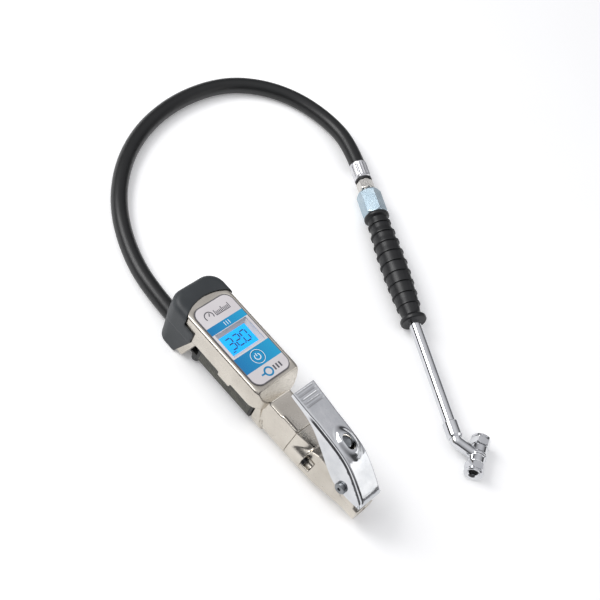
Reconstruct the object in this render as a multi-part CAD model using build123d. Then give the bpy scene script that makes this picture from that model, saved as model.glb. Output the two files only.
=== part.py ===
"""Hand-held tyre inflator with a digital gauge, a hose, and a lance with a twin chuck.

Millimetres. +X runs out of the air inlet, +Y across the body and +Z up from the table that it lies on.
The origin is the centre of the air inlet's mouth.
"""

import os
from math import acos, atan2, cos, degrees, hypot, pi, radians, sin, tan

from build123d import *

# Driving dimensions ---------------------------------------------------------------------------------
TABLE_Z = -18.0
FIT = 0.3  # gap between bodies that move past each other
RUNNING = 0.05  # radial play of a turning or sliding fit
CUT = 1.0  # how far a cutting shape stands out of what it cuts

# Gauge casting: pod, rear block, collar and barrel
POD_REAR = -225.0
POD_FRONT = -109.5
POD_HALF = 24.5
POD_LOW = 15.0
POD_TOP = 36.0
POD_CORNER = 13.0
POD_SHOULDER = 3.5
POD_WALL = 2.5
POD_FLOOR = 2.0
SLOPE_START = -118.0
SLOPE_FRONT_Z = 22.5
SLOPE_WALLS = 1.8  # wall under the slope, in pod walls
LOBE_X = -149.5
LOBE_LENGTH = 14.0
LOBE_DROP = 4.0
REAR_WALL = 22.0
FRONT_WALL = 5.5
BLOCK_HALF = 21.5
BLOCK_TOP_FRONT = -185.0
BLOCK_LOW_FRONT = -195.0
BLOCK_LOW_REAR = -222.0
BLOCK_CORNER = 9.0
BOOT_WALL = 2.0
BOOT_CROWN = 1.5
BOOT_SOFTENING = 3.0
BOOT_TOP_FRONT = -210.0
BOOT_TOP_SWEEP = 9.0
BOOT_STEP_X = -190.0
BOOT_STEP_Z = 25.5
BOOT_LOW_FRONT = -203.0
BARREL_R = 16.3
COLLAR_STEP = 1.7
COLLAR_REAR = -116.0
COLLAR_TOP_FRONT = -112.0
COLLAR_LOW_FRONT = -101.5
VALLEY_DEPTH = 1.4
VALLEY_WIDTH = 2.2
SEAM_X = -77.0
DECK_Z = 21.5
DECK_REAR = -113.0
DECK_HALF = 12.0
DECK_ROUND = 2.0
DECK_RUNOUT_HALF = 5.0  # where its sides run out on the valve body
OVERLAP = 1.0  # how far parts of one casting run into each other

# Faceplate and display module
LABEL_REAR = -204.0
LABEL_FRONT = -121.0
LABEL_HALF = 20.6
LABEL_CORNER = 8.5
LABEL_THICK = 1.2
LABEL_RIM = 0.9
OPENING_MARGIN = 2.2
GLASS_X = -164.7
GLASS_LENGTH = 18.7
GLASS_WIDTH = 29.0
GLASS_DEPTH = 4.0
GLASS_FUNNEL = 2.8
GLASS_THICK = 1.0
CELL_THICK = 1.6
GLOW_THICK = 2.0
GLASS_LEDGE = 1.6
PAD_INSET = 2.0
BUTTON_X = -143.2
BUTTON_R = 5.6
BUTTON_FLANGE = 1.2
BUTTON_TRAVEL = 0.6
BUTTON_SINK = 0.2
BUTTON_STEM_R = 1.5
BOARD_TOP = 25.4
BOARD_THICK = 1.6
BOARD_HALF = 16.5
BOARD_REAR = -197.0
BOARD_FRONT = -131.0
BOARD_POST_R = 2.6
BOARD_SCREW_R = 1.0
BOARD_SCREW_HEAD = 1.4
BOARD_POST_INSET = 3.4
SWITCH_SIDE = 6.0
SWITCH_HEIGHT = 1.4
SENSOR_X = -184.0
SENSOR_R = 3.2

# Battery bay
AA_R = 7.25
AA_LENGTH = 50.5
AA_NUB_R = 2.75
AA_NUB = 1.3
AA_GAP = 0.5
AA_Z = 6.9
CONTACT_THICK = 0.5
CONTACT_ROOM = 2.5
CONTACT_HALF = 4.5
CONTACT_BUMP_R = 2.0
TRAY_FRONT = -123.5
TRAY_WALL = 1.4
COVER_WALL = 1.6
COVER_FRONT = -117.0
COVER_LOW = -7.0
COVER_RIM = 13.4
KNOB_X = -186.4
KNOB_Y = -12.0
KNOB_R = 4.8
KNOB_TIP_R = 3.6
KNOB_LENGTH = 8.5
KNOB_SCREW_R = 1.9
KNOB_SCREW_TOP = 12.0
LUG_THICK = 2.2

# Air way
TUBE_R = 2.5
TUBE_BORE_R = 1.6
TUBE_Z = 20.3
SEAL_R = 3.2
SEAL_LENGTH = 2.0
DUCT_R = 1.8
DUCT_Z = 9.6
DUCT_X = -111.0
REAR_DUCT_X = -209.0
TUBE_SOCKET = 3.5
FRONT_SOCKET = 1.5
TAIL_GAP = 0.5

# Valve body and valve
NOSE_R = 11.2
TAPER = (
    (SEAM_X, BARREL_R),
    (-60.0, BARREL_R - 0.4),
    (-42.0, BARREL_R - 1.3),
    (-26.0, NOSE_R + 1.6),
    (-13.0, NOSE_R),
    (0.0, NOSE_R),
)
INLET_R = 5.9
INLET_LENGTH = 12.0
FILTER_LENGTH = 3.0
FILTER_R = 5.0
FILTER_RECESS = 0.5
INLET_DUCT_R = 3.2
INLET_DUCT_Z = -2.2
VALVE_X = -44.0
CHAMBER_R = 5.6
CHAMBER_LOW = -8.5
SEAT_LOW = 4.2
SEAT_HEIGHT = 3.2
SEAT_BORE_R = 3.6
UPPER_ROOM_R = 4.4
UPPER_ROOM_TOP = 11.6
STEM_R = 2.6
POPPET_R = 4.6
POPPET_HEIGHT = 3.2
SEAL_RING_R = 0.8
SEAL_RING_RISE = 5.0
PLUG_LOW = -14.4
PLUG_SLOT = 1.4
BOSS_TOP = 19.5
BOSS_R = 7.0
CAP_R = 5.6
CAP_TOP = 48.2
CAP_HEIGHT = 9.0
CAP_ROUND = 1.5
SPRING_WIRE_R = 0.5
SPRING_R = 3.4
SPRING_TURNS = 5
SIDE_STEP_X = -60.0
SCREW_Y = 12.2
SCREW_Z = 3.6
SCREW_R = 2.0
SCREW_HEAD_R = 3.4
SCREW_HEAD = 3.0
SCREW_SOCKET_R = 1.6
SCREW_ROOM = 5.0
SCREW_ROOM_LENGTH = 9.0
SCREW_END = -90.0

# Lever
PIVOT_X = -22.0
PIVOT_Z = 18.2
PIVOT_R = 2.5
LEVER_HALF = 12.5
LEVER_WALL = 2.4
LUG_R = 6.2
LEVER_TOP = ((-97.0, 55.0), (-51.5, 50.2), (-34.0, 46.8), (-22.0, 40.8), (-1.5, 23.6), (0.6, 19.0))
LEVER_LOW = (
    (-0.4, 15.4),
    (-12.0, 13.2),
    (-28.5, 13.4),
    (-38.0, 19.6),
    (-52.0, 31.8),
    (-65.0, 42.6),
    (-77.0, 48.4),
)
LEVER_LIP = 3.2
DOME_X = -42.0
DOME_TURN = 11.0
DOME_LENGTH = 34.0
DOME_WIDTH = 19.0
DOME_HEIGHT = 3.2
DOME_TAPER = 45.0
SLOT_LENGTH = 14.0
SLOT_WIDTH = 9.0
PIVOT_HEAD_R = 5.1
PIVOT_HEAD = 2.6
PIVOT_HEAD_ROUND = 1.2
PIVOT_SOCKET = 3.0
PIVOT_NUT_FLATS = 8.0
PIVOT_NUT = 3.0

# Hose
HOSE_R = 7.5
HOSE_BORE_R = 4.0
HOSE_Y = -6.0
HOSE_Z = -7.5
HOSE_END_X = -214.0
TAIL_R = 5.2
HOSE_SHARE = 0.45

# Lance, from the ferrule's hose end along its own axis
FERRULE_R = 8.4
FERRULE_LENGTH = 18.0
FERRULE_END_WALL = 2.0
RING_LENGTH = 2.5
RING_R = 8.0
STEM_FLATS = 14.0
STEM_LENGTH = 13.0
STEM_THREAD = 8.0
STEM_THREAD_R = 5.0
STEM_BORE_R = 2.2
BARB_START = 2.0
ADAPTOR_FLATS = 20.5
ADAPTOR_LENGTH = 27.0
ADAPTOR_CHAMFER = 1.2
ADAPTOR_BORE_R = 3.0
GRIP_LENGTH = 118.0
GRIP_MAX_R = 13.0
GRIP_LIP_R = 12.0
GRIP_NECK_R = 8.8
GRIP_RIBS = 9
RIB_LENGTH = 4.6
RIB_HEIGHT = 2.2
LANCE_R = 5.5
LANCE_BORE_R = 3.5
LANCE_LENGTH = 222.0  # beyond the adaptor
LANCE_SOCKET = 12.0
SLEEVE_R = 6.9
SLEEVE_LENGTH = 15.0
SLEEVE_LAP = 3.0
SLEEVE_CHAMFER = 0.6

# Twin chuck
HEAD_TURN = -32.4  # from the lance's way to the first cap's
HEAD_AHEAD = 14.0
HEAD_ASIDE = 17.3
HEAD_CORE_R = 7.6
HEAD_CORE_HALF = 9.0
HEAD_BEAD_R = 8.6
HEAD_BEAD_HALF = 1.4
HEAD_THREAD = 3.0
CAP_FLATS = 16.0
CHUCK_CAP_LENGTH = 10.0
CAP_CHAMFER = 0.8
CAP_SKIRT = 3.0
MOUTH_R = 4.0
MOUTH_DEPTH = 6.0
MOUTH_FLANGE_R = 8.6
CAP_THREAD_R = 5.6
WASHER_BORE_R = 2.2
WASHER_THICK = 2.0
SHUTTLE_GUIDE = 3.0
SHUTTLE_WAIST_R = 2.0
SHUTTLE_PIN_R = 1.1
SHUTTLE_TRAVEL = 1.2
HEAD_BORE_R = 4.2
NECK_R = 5.3

# Worked-out places ----------------------------------------------------------------------------------
COLLAR_R = BARREL_R + COLLAR_STEP
COLLAR_TOP = POD_LOW + 2 * OVERLAP
CAVITY_REAR = POD_REAR + REAR_WALL
CAVITY_FRONT = POD_FRONT - FRONT_WALL
CAVITY_LOW = POD_LOW + POD_FLOOR
CAVITY_TOP = POD_TOP - POD_WALL
BLOCK_LOW = TABLE_Z + BOOT_WALL
LABEL_LOW = POD_TOP - LABEL_THICK
LABEL_MID = (LABEL_REAR + LABEL_FRONT) / 2
LABEL_SPAN = LABEL_FRONT - LABEL_REAR
BEZEL_HALF = LABEL_HALF - OPENING_MARGIN
BEZEL_SPAN = LABEL_SPAN - 2 * OPENING_MARGIN
GLASS_TOP = POD_TOP - GLASS_DEPTH
GLASS_LOW = GLASS_TOP - GLASS_THICK
LCD_LOW = GLASS_LOW - CELL_THICK
GLOW_LOW = LCD_LOW - GLOW_THICK
BOARD_LOW = BOARD_TOP - BOARD_THICK
AA_Y = AA_R + AA_GAP / 2
TRAY_HALF = 2 * AA_R + AA_GAP + TRAY_WALL
TRAY_SPAN = AA_LENGTH + 2 * CONTACT_ROOM
TRAY_IN_FRONT = TRAY_FRONT - TRAY_WALL
TRAY_IN_REAR = TRAY_IN_FRONT - TRAY_SPAN
TRAY_REAR = TRAY_IN_REAR - TRAY_WALL
COVER_HALF = TRAY_HALF + COVER_WALL
COVER_REAR = TRAY_REAR - COVER_WALL
LEVER_IN_HALF = LEVER_HALF - LEVER_WALL
LUG_HALF = LEVER_IN_HALF - FIT
FILTER_REAR = -INLET_LENGTH - FILTER_RECESS - FILTER_LENGTH
POPPET_TOP = SEAT_LOW
SPRING_TOP = POPPET_TOP - POPPET_HEIGHT


# Shapes used by several pieces ----------------------------------------------------------------------
def block(x0, x1, y0, y1, z0, z1):
    """A box from its lowest to its highest corner."""
    return Pos((x0 + x1) / 2, (y0 + y1) / 2, (z0 + z1) / 2) * Box(x1 - x0, y1 - y0, z1 - z0)


def x_rod(radius, x0, x1, y=0.0, z=0.0):
    """A cylinder along X."""
    return Pos((x0 + x1) / 2, y, z) * Rot(0, 90, 0) * Cylinder(radius, x1 - x0)


def y_rod(radius, y0, y1, x=0.0, z=0.0):
    """A cylinder along Y."""
    return Pos(x, (y0 + y1) / 2, z) * Rot(90, 0, 0) * Cylinder(radius, y1 - y0)


def z_rod(radius, z0, z1, x=0.0, y=0.0):
    """A cylinder along Z."""
    return Pos(x, y, (z0 + z1) / 2) * Cylinder(radius, z1 - z0)


def side_slab(points, half):
    """A side outline in X and Z, as wide as half on each side of the middle."""
    outline = Plane.XZ * make_face(Polyline(*points, close=True))
    return extrude(outline, half, both=True)


def rounded_slab(x0, x1, half, z0, z1, corner):
    """A plate with rounded corners, from z0 to z1."""
    outline = RectangleRounded(x1 - x0, 2 * half, corner)
    return Pos((x0 + x1) / 2, 0, z0) * extrude(outline, z1 - z0)


def x_turned(points):
    """A solid of revolution about X from (x, radius) points."""
    ends = [(points[0][0], 0.0), *points, (points[-1][0], 0.0)]
    return revolve(Plane.XZ * make_face(Polyline(*ends, close=True)), Axis.X)


def hexagon_bar(flats, x0, x1, chamfer_length=0.0):
    """A hexagonal bar along X, with its corners turned off at both ends."""
    bar = Pos(x0, 0, 0) * Rot(0, 90, 0) * extrude(RegularPolygon(flats / 2, 6, major_radius=False), x1 - x0)
    if chamfer_length > 0:
        corner_r = flats / 2 / cos(pi / 6)
        bar = bar & x_turned(
            (
                (x0, flats / 2),
                (x0 + chamfer_length, corner_r),
                (x1 - chamfer_length, corner_r),
                (x1, flats / 2),
            )
        )
    return bar


# Casting --------------------------------------------------------------------------------------------
def pod_form(grow=0.0, crown=0.0, softening=0.0):
    """The pod's outside, grown sideways by grow and upwards by crown; its front stays where it is."""
    form = rounded_slab(
        POD_REAR - grow, POD_FRONT, POD_HALF + grow, POD_LOW - grow, POD_TOP + crown, POD_CORNER + grow
    )
    return fillet(form.faces().sort_by(Axis.Z)[-1].edges(), POD_SHOULDER + softening)


def block_form(grow=0.0):
    """The deep rear part that holds the hose end, grown all round by grow."""
    outline = (
        (POD_REAR - grow, POD_LOW + OVERLAP),
        (BLOCK_TOP_FRONT, POD_LOW + OVERLAP),
        (BLOCK_LOW_FRONT, BLOCK_LOW - grow),
        (BLOCK_LOW_REAR - grow, BLOCK_LOW - grow),
    )
    form = side_slab(outline, BLOCK_HALF + grow)
    rear = form.edges().filter_by(Axis.Z, tolerance=30).sort_by(Axis.X)[:2]
    form = fillet(rear, BLOCK_CORNER + grow)
    low = form.faces().sort_by(Axis.Z)[0].edges()
    return fillet(low, BOOT_WALL)


def collar_form():
    """The bulge between pod and barrel, with its slanting front."""
    outline = (
        (COLLAR_REAR, COLLAR_TOP),
        (COLLAR_TOP_FRONT, COLLAR_TOP),
        (COLLAR_LOW_FRONT, -COLLAR_R - CUT),
        (COLLAR_REAR, -COLLAR_R - CUT),
    )
    round_part = x_rod(COLLAR_R, COLLAR_REAR, SEAM_X)
    upright = block(COLLAR_REAR, SEAM_X, -COLLAR_R, COLLAR_R, 0.0, COLLAR_TOP)
    return (round_part + upright) & side_slab(outline, COLLAR_R)


def valley():
    """The groove in the barrel where it leaves the collar's slanting front."""
    outline = (
        (COLLAR_TOP_FRONT, COLLAR_TOP),
        (COLLAR_TOP_FRONT + VALLEY_WIDTH, COLLAR_TOP),
        (COLLAR_LOW_FRONT + VALLEY_WIDTH, -COLLAR_R - CUT),
        (COLLAR_LOW_FRONT, -COLLAR_R - CUT),
    )
    ring = x_rod(BARREL_R + CUT, DECK_REAR, SEAM_X) - x_rod(BARREL_R - VALLEY_DEPTH, DECK_REAR, SEAM_X)
    return ring & side_slab(outline, COLLAR_R)


def board_posts():
    """Centres of the four posts under the circuit board."""
    return [
        (x, y)
        for x in (BOARD_REAR + BOARD_POST_INSET, BOARD_FRONT - BOARD_POST_INSET)
        for y in (-BOARD_HALF + BOARD_POST_INSET, BOARD_HALF - BOARD_POST_INSET)
    ]


def front_slope(drop=0.0):
    """What is cut off above the pod's sloping front, from that much lower."""
    over = POD_TOP + CUT
    ahead = POD_FRONT + CUT
    outline = (
        (SLOPE_START, POD_TOP - drop),
        (SLOPE_START, over),
        (ahead, over),
        (ahead, SLOPE_FRONT_Z - drop),
        (POD_FRONT, SLOPE_FRONT_Z - drop),
    )
    return side_slab(outline, POD_HALF + CUT)


def deck_section(half, top, radius):
    """Flat-topped outline in Y and Z whose sides run down tangent to a circle round X."""
    lean = atan2(top, half) - acos(radius / hypot(half, top))
    foot = (radius * cos(lean), radius * sin(lean))
    outline = ((-foot[0], foot[1]), (-half, top), (half, top), foot)
    return Plane.YZ * make_face(Polyline(*outline, close=True))


def gauge_casting():
    """Pod, rear block, collar and barrel in one die casting."""
    pod = pod_form() - front_slope()
    lobe = block(
        LOBE_X - LOBE_LENGTH / 2,
        LOBE_X + LOBE_LENGTH / 2,
        -POD_HALF,
        POD_HALF,
        POD_LOW - LOBE_DROP,
        POD_LOW + OVERLAP,
    )
    lobe_room = block(
        POD_REAR, POD_FRONT, -POD_HALF + POD_WALL, POD_HALF - POD_WALL, POD_LOW - 2 * LOBE_DROP, POD_LOW
    )
    deck = Pos(DECK_REAR, 0, 0) * extrude(deck_section(DECK_HALF, DECK_Z, BARREL_R), SEAM_X - DECK_REAR)
    deck = fillet(deck.edges().filter_by(Axis.X).group_by(Axis.Z)[-1], DECK_ROUND)
    barrel = x_rod(BARREL_R, COLLAR_REAR + OVERLAP, SEAM_X)
    body = pod + (lobe - lobe_room) + block_form() + collar_form() + (barrel - valley()) + deck

    cavity_half = POD_HALF - POD_WALL
    cavity = block(CAVITY_REAR, CAVITY_FRONT, -cavity_half, cavity_half, CAVITY_LOW, CAVITY_TOP)
    body = body - (cavity - front_slope(POD_WALL * SLOPE_WALLS))
    body = body - rounded_slab(LABEL_REAR, LABEL_FRONT, LABEL_HALF, LABEL_LOW, POD_TOP + CUT, LABEL_CORNER)
    body = body - rounded_slab(
        LABEL_MID - BEZEL_SPAN / 2,
        LABEL_MID + BEZEL_SPAN / 2,
        BEZEL_HALF,
        CAVITY_TOP - CUT,
        POD_TOP,
        LABEL_CORNER - OPENING_MARGIN,
    )
    for x, y in board_posts():
        body = body + z_rod(BOARD_POST_R, CAVITY_LOW, BOARD_LOW, x, y)
        body = body - z_rod(BOARD_SCREW_R, CAVITY_LOW + BOARD_SCREW_R, BOARD_LOW, x, y)

    body = body - x_rod(DUCT_R, DUCT_X, SEAM_X, z=DUCT_Z)
    body = body - z_rod(DUCT_R, DUCT_Z, TUBE_Z, DUCT_X)
    body = body - x_rod(TUBE_BORE_R, CAVITY_FRONT, DUCT_X, z=TUBE_Z)
    body = body - x_rod(TUBE_R, CAVITY_FRONT, CAVITY_FRONT + FRONT_SOCKET, z=TUBE_Z)
    body = body - x_rod(TUBE_R, CAVITY_REAR - TUBE_SOCKET, CAVITY_REAR, z=TUBE_Z)
    body = body - x_rod(TUBE_BORE_R, REAR_DUCT_X, CAVITY_REAR, z=TUBE_Z)
    body = body - Pos(REAR_DUCT_X, 0, TUBE_Z) * Sphere(DUCT_R)
    drop = Vector(REAR_DUCT_X, HOSE_Y, HOSE_Z) - Vector(REAR_DUCT_X, 0, TUBE_Z)
    drill = Plane(origin=(REAR_DUCT_X, 0, TUBE_Z), z_dir=drop) * Pos(0, 0, drop.length / 2)
    body = body - drill * Cylinder(DUCT_R, drop.length)
    body = body - x_rod(HOSE_R, POD_REAR - CUT, HOSE_END_X, HOSE_Y, HOSE_Z)
    body = body - x_rod(TAIL_R, HOSE_END_X, REAR_DUCT_X - TAIL_GAP, HOSE_Y, HOSE_Z)
    body = body - x_rod(DUCT_R, REAR_DUCT_X - TAIL_GAP, REAR_DUCT_X, HOSE_Y, HOSE_Z)
    for y in (-SCREW_Y, SCREW_Y):
        body = body - x_rod(SCREW_R, SCREW_END, SEAM_X, y, SCREW_Z)
    body = body - z_rod(KNOB_SCREW_R, BLOCK_LOW, KNOB_SCREW_TOP, KNOB_X, KNOB_Y)
    return body


def rubber_boot():
    """Moulded cover over the rear end."""
    behind = POD_REAR - 2 * BOOT_WALL
    over = POD_TOP + 2 * BOOT_WALL
    side_front = BOOT_TOP_FRONT + BOOT_TOP_SWEEP
    outline = (
        (behind, over),
        (side_front, over),
        (side_front, BOOT_STEP_Z + CUT),
        (BOOT_STEP_X, BOOT_STEP_Z),
        (BOOT_STEP_X, POD_LOW - BOOT_WALL),
        (BOOT_LOW_FRONT, TABLE_Z - CUT),
        (behind, TABLE_Z - CUT),
    )
    skin = pod_form(BOOT_WALL, BOOT_CROWN, BOOT_SOFTENING) + block_form(BOOT_WALL)
    boot = (skin & side_slab(outline, POD_HALF + 2 * BOOT_WALL)) - pod_form() - block_form()
    side = POD_HALF + BOOT_WALL
    sweep = ThreePointArc((side_front, -side), (BOOT_TOP_FRONT, 0), (side_front, side))
    ahead = Polyline((side_front, side), (POD_FRONT, side), (POD_FRONT, -side), (side_front, -side))
    step = Plane.XY.offset(BOOT_STEP_Z + CUT)
    boot = boot - extrude(step * make_face([sweep, ahead]), over - BOOT_STEP_Z - CUT)
    return boot - x_rod(HOSE_R + FIT, behind, HOSE_END_X, HOSE_Y, HOSE_Z)


# Faceplate and display ------------------------------------------------------------------------------
def label_gasket():
    """Dark rim seal round the faceplate."""
    outer = rounded_slab(LABEL_REAR, LABEL_FRONT, LABEL_HALF, LABEL_LOW, POD_TOP, LABEL_CORNER)
    inner = rounded_slab(
        LABEL_REAR + LABEL_RIM,
        LABEL_FRONT - LABEL_RIM,
        LABEL_HALF - LABEL_RIM,
        LABEL_LOW,
        POD_TOP,
        LABEL_CORNER - LABEL_RIM,
    )
    return outer - inner


def glass_hole(grow, z0, z1):
    """The rectangular way to the display, grown sideways by grow."""
    half_x = GLASS_LENGTH / 2 + grow
    half_y = GLASS_WIDTH / 2 + grow
    return block(GLASS_X - half_x, GLASS_X + half_x, -half_y, half_y, z0, z1)


def label_panel():
    """Printed faceplate with the display's window and the button's hole."""
    panel = rounded_slab(
        LABEL_REAR + LABEL_RIM,
        LABEL_FRONT - LABEL_RIM,
        LABEL_HALF - LABEL_RIM,
        LABEL_LOW,
        POD_TOP,
        LABEL_CORNER - LABEL_RIM,
    )
    panel = panel - glass_hole(GLASS_FUNNEL, LABEL_LOW, POD_TOP)
    return panel - z_rod(BUTTON_R + FIT, LABEL_LOW, POD_TOP, BUTTON_X)


def display_frame():
    """Plastic frame that fills the casting's opening and carries window, display and button."""
    frame = rounded_slab(
        LABEL_MID - BEZEL_SPAN / 2,
        LABEL_MID + BEZEL_SPAN / 2,
        BEZEL_HALF,
        BOARD_TOP,
        LABEL_LOW,
        LABEL_CORNER - OPENING_MARGIN,
    )
    funnel_slope = degrees(atan2(GLASS_FUNNEL, LABEL_LOW - GLASS_TOP))
    funnel = extrude(Rectangle(GLASS_LENGTH, GLASS_WIDTH), LABEL_LOW - GLASS_TOP, taper=-funnel_slope)
    frame = frame - Pos(GLASS_X, 0, GLASS_TOP) * funnel
    frame = frame - glass_hole(GLASS_LEDGE, BOARD_TOP, GLASS_TOP)
    frame = frame - z_rod(BUTTON_R + FIT, BOARD_TOP, LABEL_LOW, BUTTON_X)
    frame = frame - z_rod(
        BUTTON_R + BUTTON_FLANGE + FIT, BOARD_TOP, LABEL_LOW - BUTTON_FLANGE, BUTTON_X
    )
    for x, y in board_posts():
        frame = frame - z_rod(2 * BOARD_SCREW_R + FIT, BOARD_TOP, BOARD_TOP + 2 * BOARD_SCREW_HEAD, x, y)
    return frame


def display_window():
    """Clear window over the display."""
    return glass_hole(GLASS_LEDGE, GLASS_LOW, GLASS_TOP)


def lcd_panel():
    """Liquid crystal cell under the window."""
    return glass_hole(GLASS_LEDGE, LCD_LOW, GLASS_LOW)


def backlight_panel():
    """Light guide under the liquid crystal cell."""
    return glass_hole(GLASS_LEDGE, GLOW_LOW, LCD_LOW)


def display_pad():
    """Foam frame that holds the display stack up against its ledge."""
    return glass_hole(GLASS_LEDGE, BOARD_TOP, GLOW_LOW) - glass_hole(-PAD_INSET, BOARD_TOP, GLOW_LOW)


def circuit_board():
    """Printed circuit board on the casting's four posts."""
    board = block(BOARD_REAR, BOARD_FRONT, -BOARD_HALF, BOARD_HALF, BOARD_LOW, BOARD_TOP)
    for x, y in board_posts():
        board = board - z_rod(BOARD_SCREW_R, BOARD_LOW, BOARD_TOP, x, y)
    return board


def board_screws():
    """Four screws that hold the board on its posts."""
    screws = []
    for x, y in board_posts():
        shank = z_rod(BOARD_SCREW_R, CAVITY_LOW + BOARD_SCREW_R, BOARD_TOP, x, y)
        screws.append(shank + z_rod(2 * BOARD_SCREW_R, BOARD_TOP, BOARD_TOP + BOARD_SCREW_HEAD, x, y))
    return Compound(children=screws)


def pressure_sensor():
    """Sensor on the board's underside, saddled on the transfer tube."""
    sensor = z_rod(SENSOR_R, TUBE_Z, BOARD_LOW, SENSOR_X)
    return sensor - x_rod(TUBE_R, SENSOR_X - 2 * SENSOR_R, SENSOR_X + 2 * SENSOR_R, z=TUBE_Z)


def dome_switch():
    """Switch under the button."""
    half = SWITCH_SIDE / 2
    return block(BUTTON_X - half, BUTTON_X + half, -half, half, BOARD_TOP, BOARD_TOP + SWITCH_HEIGHT)


def unit_button():
    """Round button that travels down on to the switch."""
    top = LABEL_LOW - BUTTON_FLANGE - 2 * RUNNING
    face = z_rod(BUTTON_R, top, POD_TOP - BUTTON_SINK, BUTTON_X)
    flange = z_rod(BUTTON_R + BUTTON_FLANGE - FIT, top - BUTTON_FLANGE, top, BUTTON_X)
    stem_low = BOARD_TOP + SWITCH_HEIGHT + BUTTON_TRAVEL + RUNNING
    return face + flange + z_rod(BUTTON_STEM_R, stem_low, top, BUTTON_X)


# Battery bay ----------------------------------------------------------------------------------------
def battery_tray():
    """Box open at the bottom that holds two cells side by side."""
    tray = block(TRAY_REAR, TRAY_FRONT, -TRAY_HALF, TRAY_HALF, AA_Z - AA_R, POD_LOW)
    in_half = TRAY_HALF - TRAY_WALL
    room = block(TRAY_IN_REAR, TRAY_IN_FRONT, -in_half, in_half, AA_Z - AA_R, AA_Z)
    for y in (-AA_Y, AA_Y):
        room = room + x_rod(AA_R, TRAY_IN_REAR, TRAY_IN_FRONT, y, AA_Z)
    return tray - room


def battery_cells():
    """Two AA cells, the second one turned round."""
    cells = []
    middle = (TRAY_IN_REAR + TRAY_IN_FRONT) / 2
    for y, way in ((-AA_Y, 1), (AA_Y, -1)):
        can = x_rod(AA_R, -AA_LENGTH / 2, AA_LENGTH / 2 - AA_NUB)
        nub = x_rod(AA_NUB_R, AA_LENGTH / 2 - AA_NUB, AA_LENGTH / 2)
        cells.append(Pos(middle, y, AA_Z) * Rot(0, 0, 0 if way > 0 else 180) * (can + nub))
    return Compound(children=cells)


def battery_contacts():
    """Sprung contact at each end of each cell."""
    contacts = []
    for y in (-AA_Y, AA_Y):
        for wall_x, way in ((TRAY_IN_REAR, 1), (TRAY_IN_FRONT, -1)):
            ends = sorted((wall_x, wall_x + way * CONTACT_THICK))
            bumps = sorted((wall_x, wall_x + way * CONTACT_ROOM))
            plate = block(*ends, y - CONTACT_HALF, y + CONTACT_HALF, AA_Z - CONTACT_HALF, AA_Z + CONTACT_HALF)
            contacts.append(plate + x_rod(CONTACT_BUMP_R, *bumps, y, AA_Z))
    return Compound(children=contacts)


def battery_cover():
    """Ribbed cover round the tray, with a lug for its thumbscrew."""
    cover = block(COVER_REAR, COVER_FRONT, -COVER_HALF, COVER_HALF, COVER_LOW, COVER_RIM)
    cover = cover - block(TRAY_REAR, TRAY_FRONT, -TRAY_HALF, TRAY_HALF, COVER_LOW + COVER_WALL, COVER_RIM)
    low_edges = cover.edges().filter_by(Axis.X).group_by(Axis.Z)[0]
    cover = fillet(low_edges, COVER_WALL)
    lug_top = COVER_LOW + LUG_THICK
    lug = block(
        KNOB_X - KNOB_R, COVER_REAR + COVER_WALL, KNOB_Y - KNOB_R, KNOB_Y + KNOB_R, COVER_LOW, lug_top
    )
    lug = lug - z_rod(KNOB_SCREW_R, COVER_LOW, lug_top, KNOB_X, KNOB_Y)
    return cover + lug


def cover_gasket():
    """Rubber frame between the cover's rim and the pod's floor."""
    ring = block(COVER_REAR, COVER_FRONT, -COVER_HALF, COVER_HALF, COVER_RIM, POD_LOW)
    return ring - block(TRAY_REAR, TRAY_FRONT, -TRAY_HALF, TRAY_HALF, COVER_RIM, POD_LOW)


def cover_thumbscrew():
    """Tapered knob and its screw."""
    knob = Pos(KNOB_X, KNOB_Y, COVER_LOW - KNOB_LENGTH / 2) * Cone(KNOB_TIP_R, KNOB_R, KNOB_LENGTH)
    return knob + z_rod(KNOB_SCREW_R, COVER_LOW, KNOB_SCREW_TOP, KNOB_X, KNOB_Y)


# Air way --------------------------------------------------------------------------------------------
def transfer_tube():
    """Tube that carries air through the pod to the rear block."""
    x0 = CAVITY_REAR - TUBE_SOCKET
    x1 = CAVITY_FRONT + FRONT_SOCKET
    return x_rod(TUBE_R, x0, x1, z=TUBE_Z) - x_rod(TUBE_BORE_R, x0, x1, z=TUBE_Z)


def transfer_seals():
    """Rubber collar at each end of the transfer tube."""
    seals = []
    for x0 in (CAVITY_REAR, CAVITY_FRONT - SEAL_LENGTH):
        collar = x_rod(SEAL_R, x0, x0 + SEAL_LENGTH, z=TUBE_Z)
        seals.append(collar - x_rod(TUBE_R, x0, x0 + SEAL_LENGTH, z=TUBE_Z))
    return Compound(children=seals)


def hose_tail():
    """Threaded tail in the rear block, with the barb that the hose is pushed on."""
    x1 = REAR_DUCT_X - TAIL_GAP
    tail = x_rod(TAIL_R, HOSE_END_X, x1, HOSE_Y, HOSE_Z)
    tail = tail + x_rod(HOSE_BORE_R, POD_REAR, HOSE_END_X, HOSE_Y, HOSE_Z)
    return tail - x_rod(DUCT_R, POD_REAR, x1, HOSE_Y, HOSE_Z)


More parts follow.
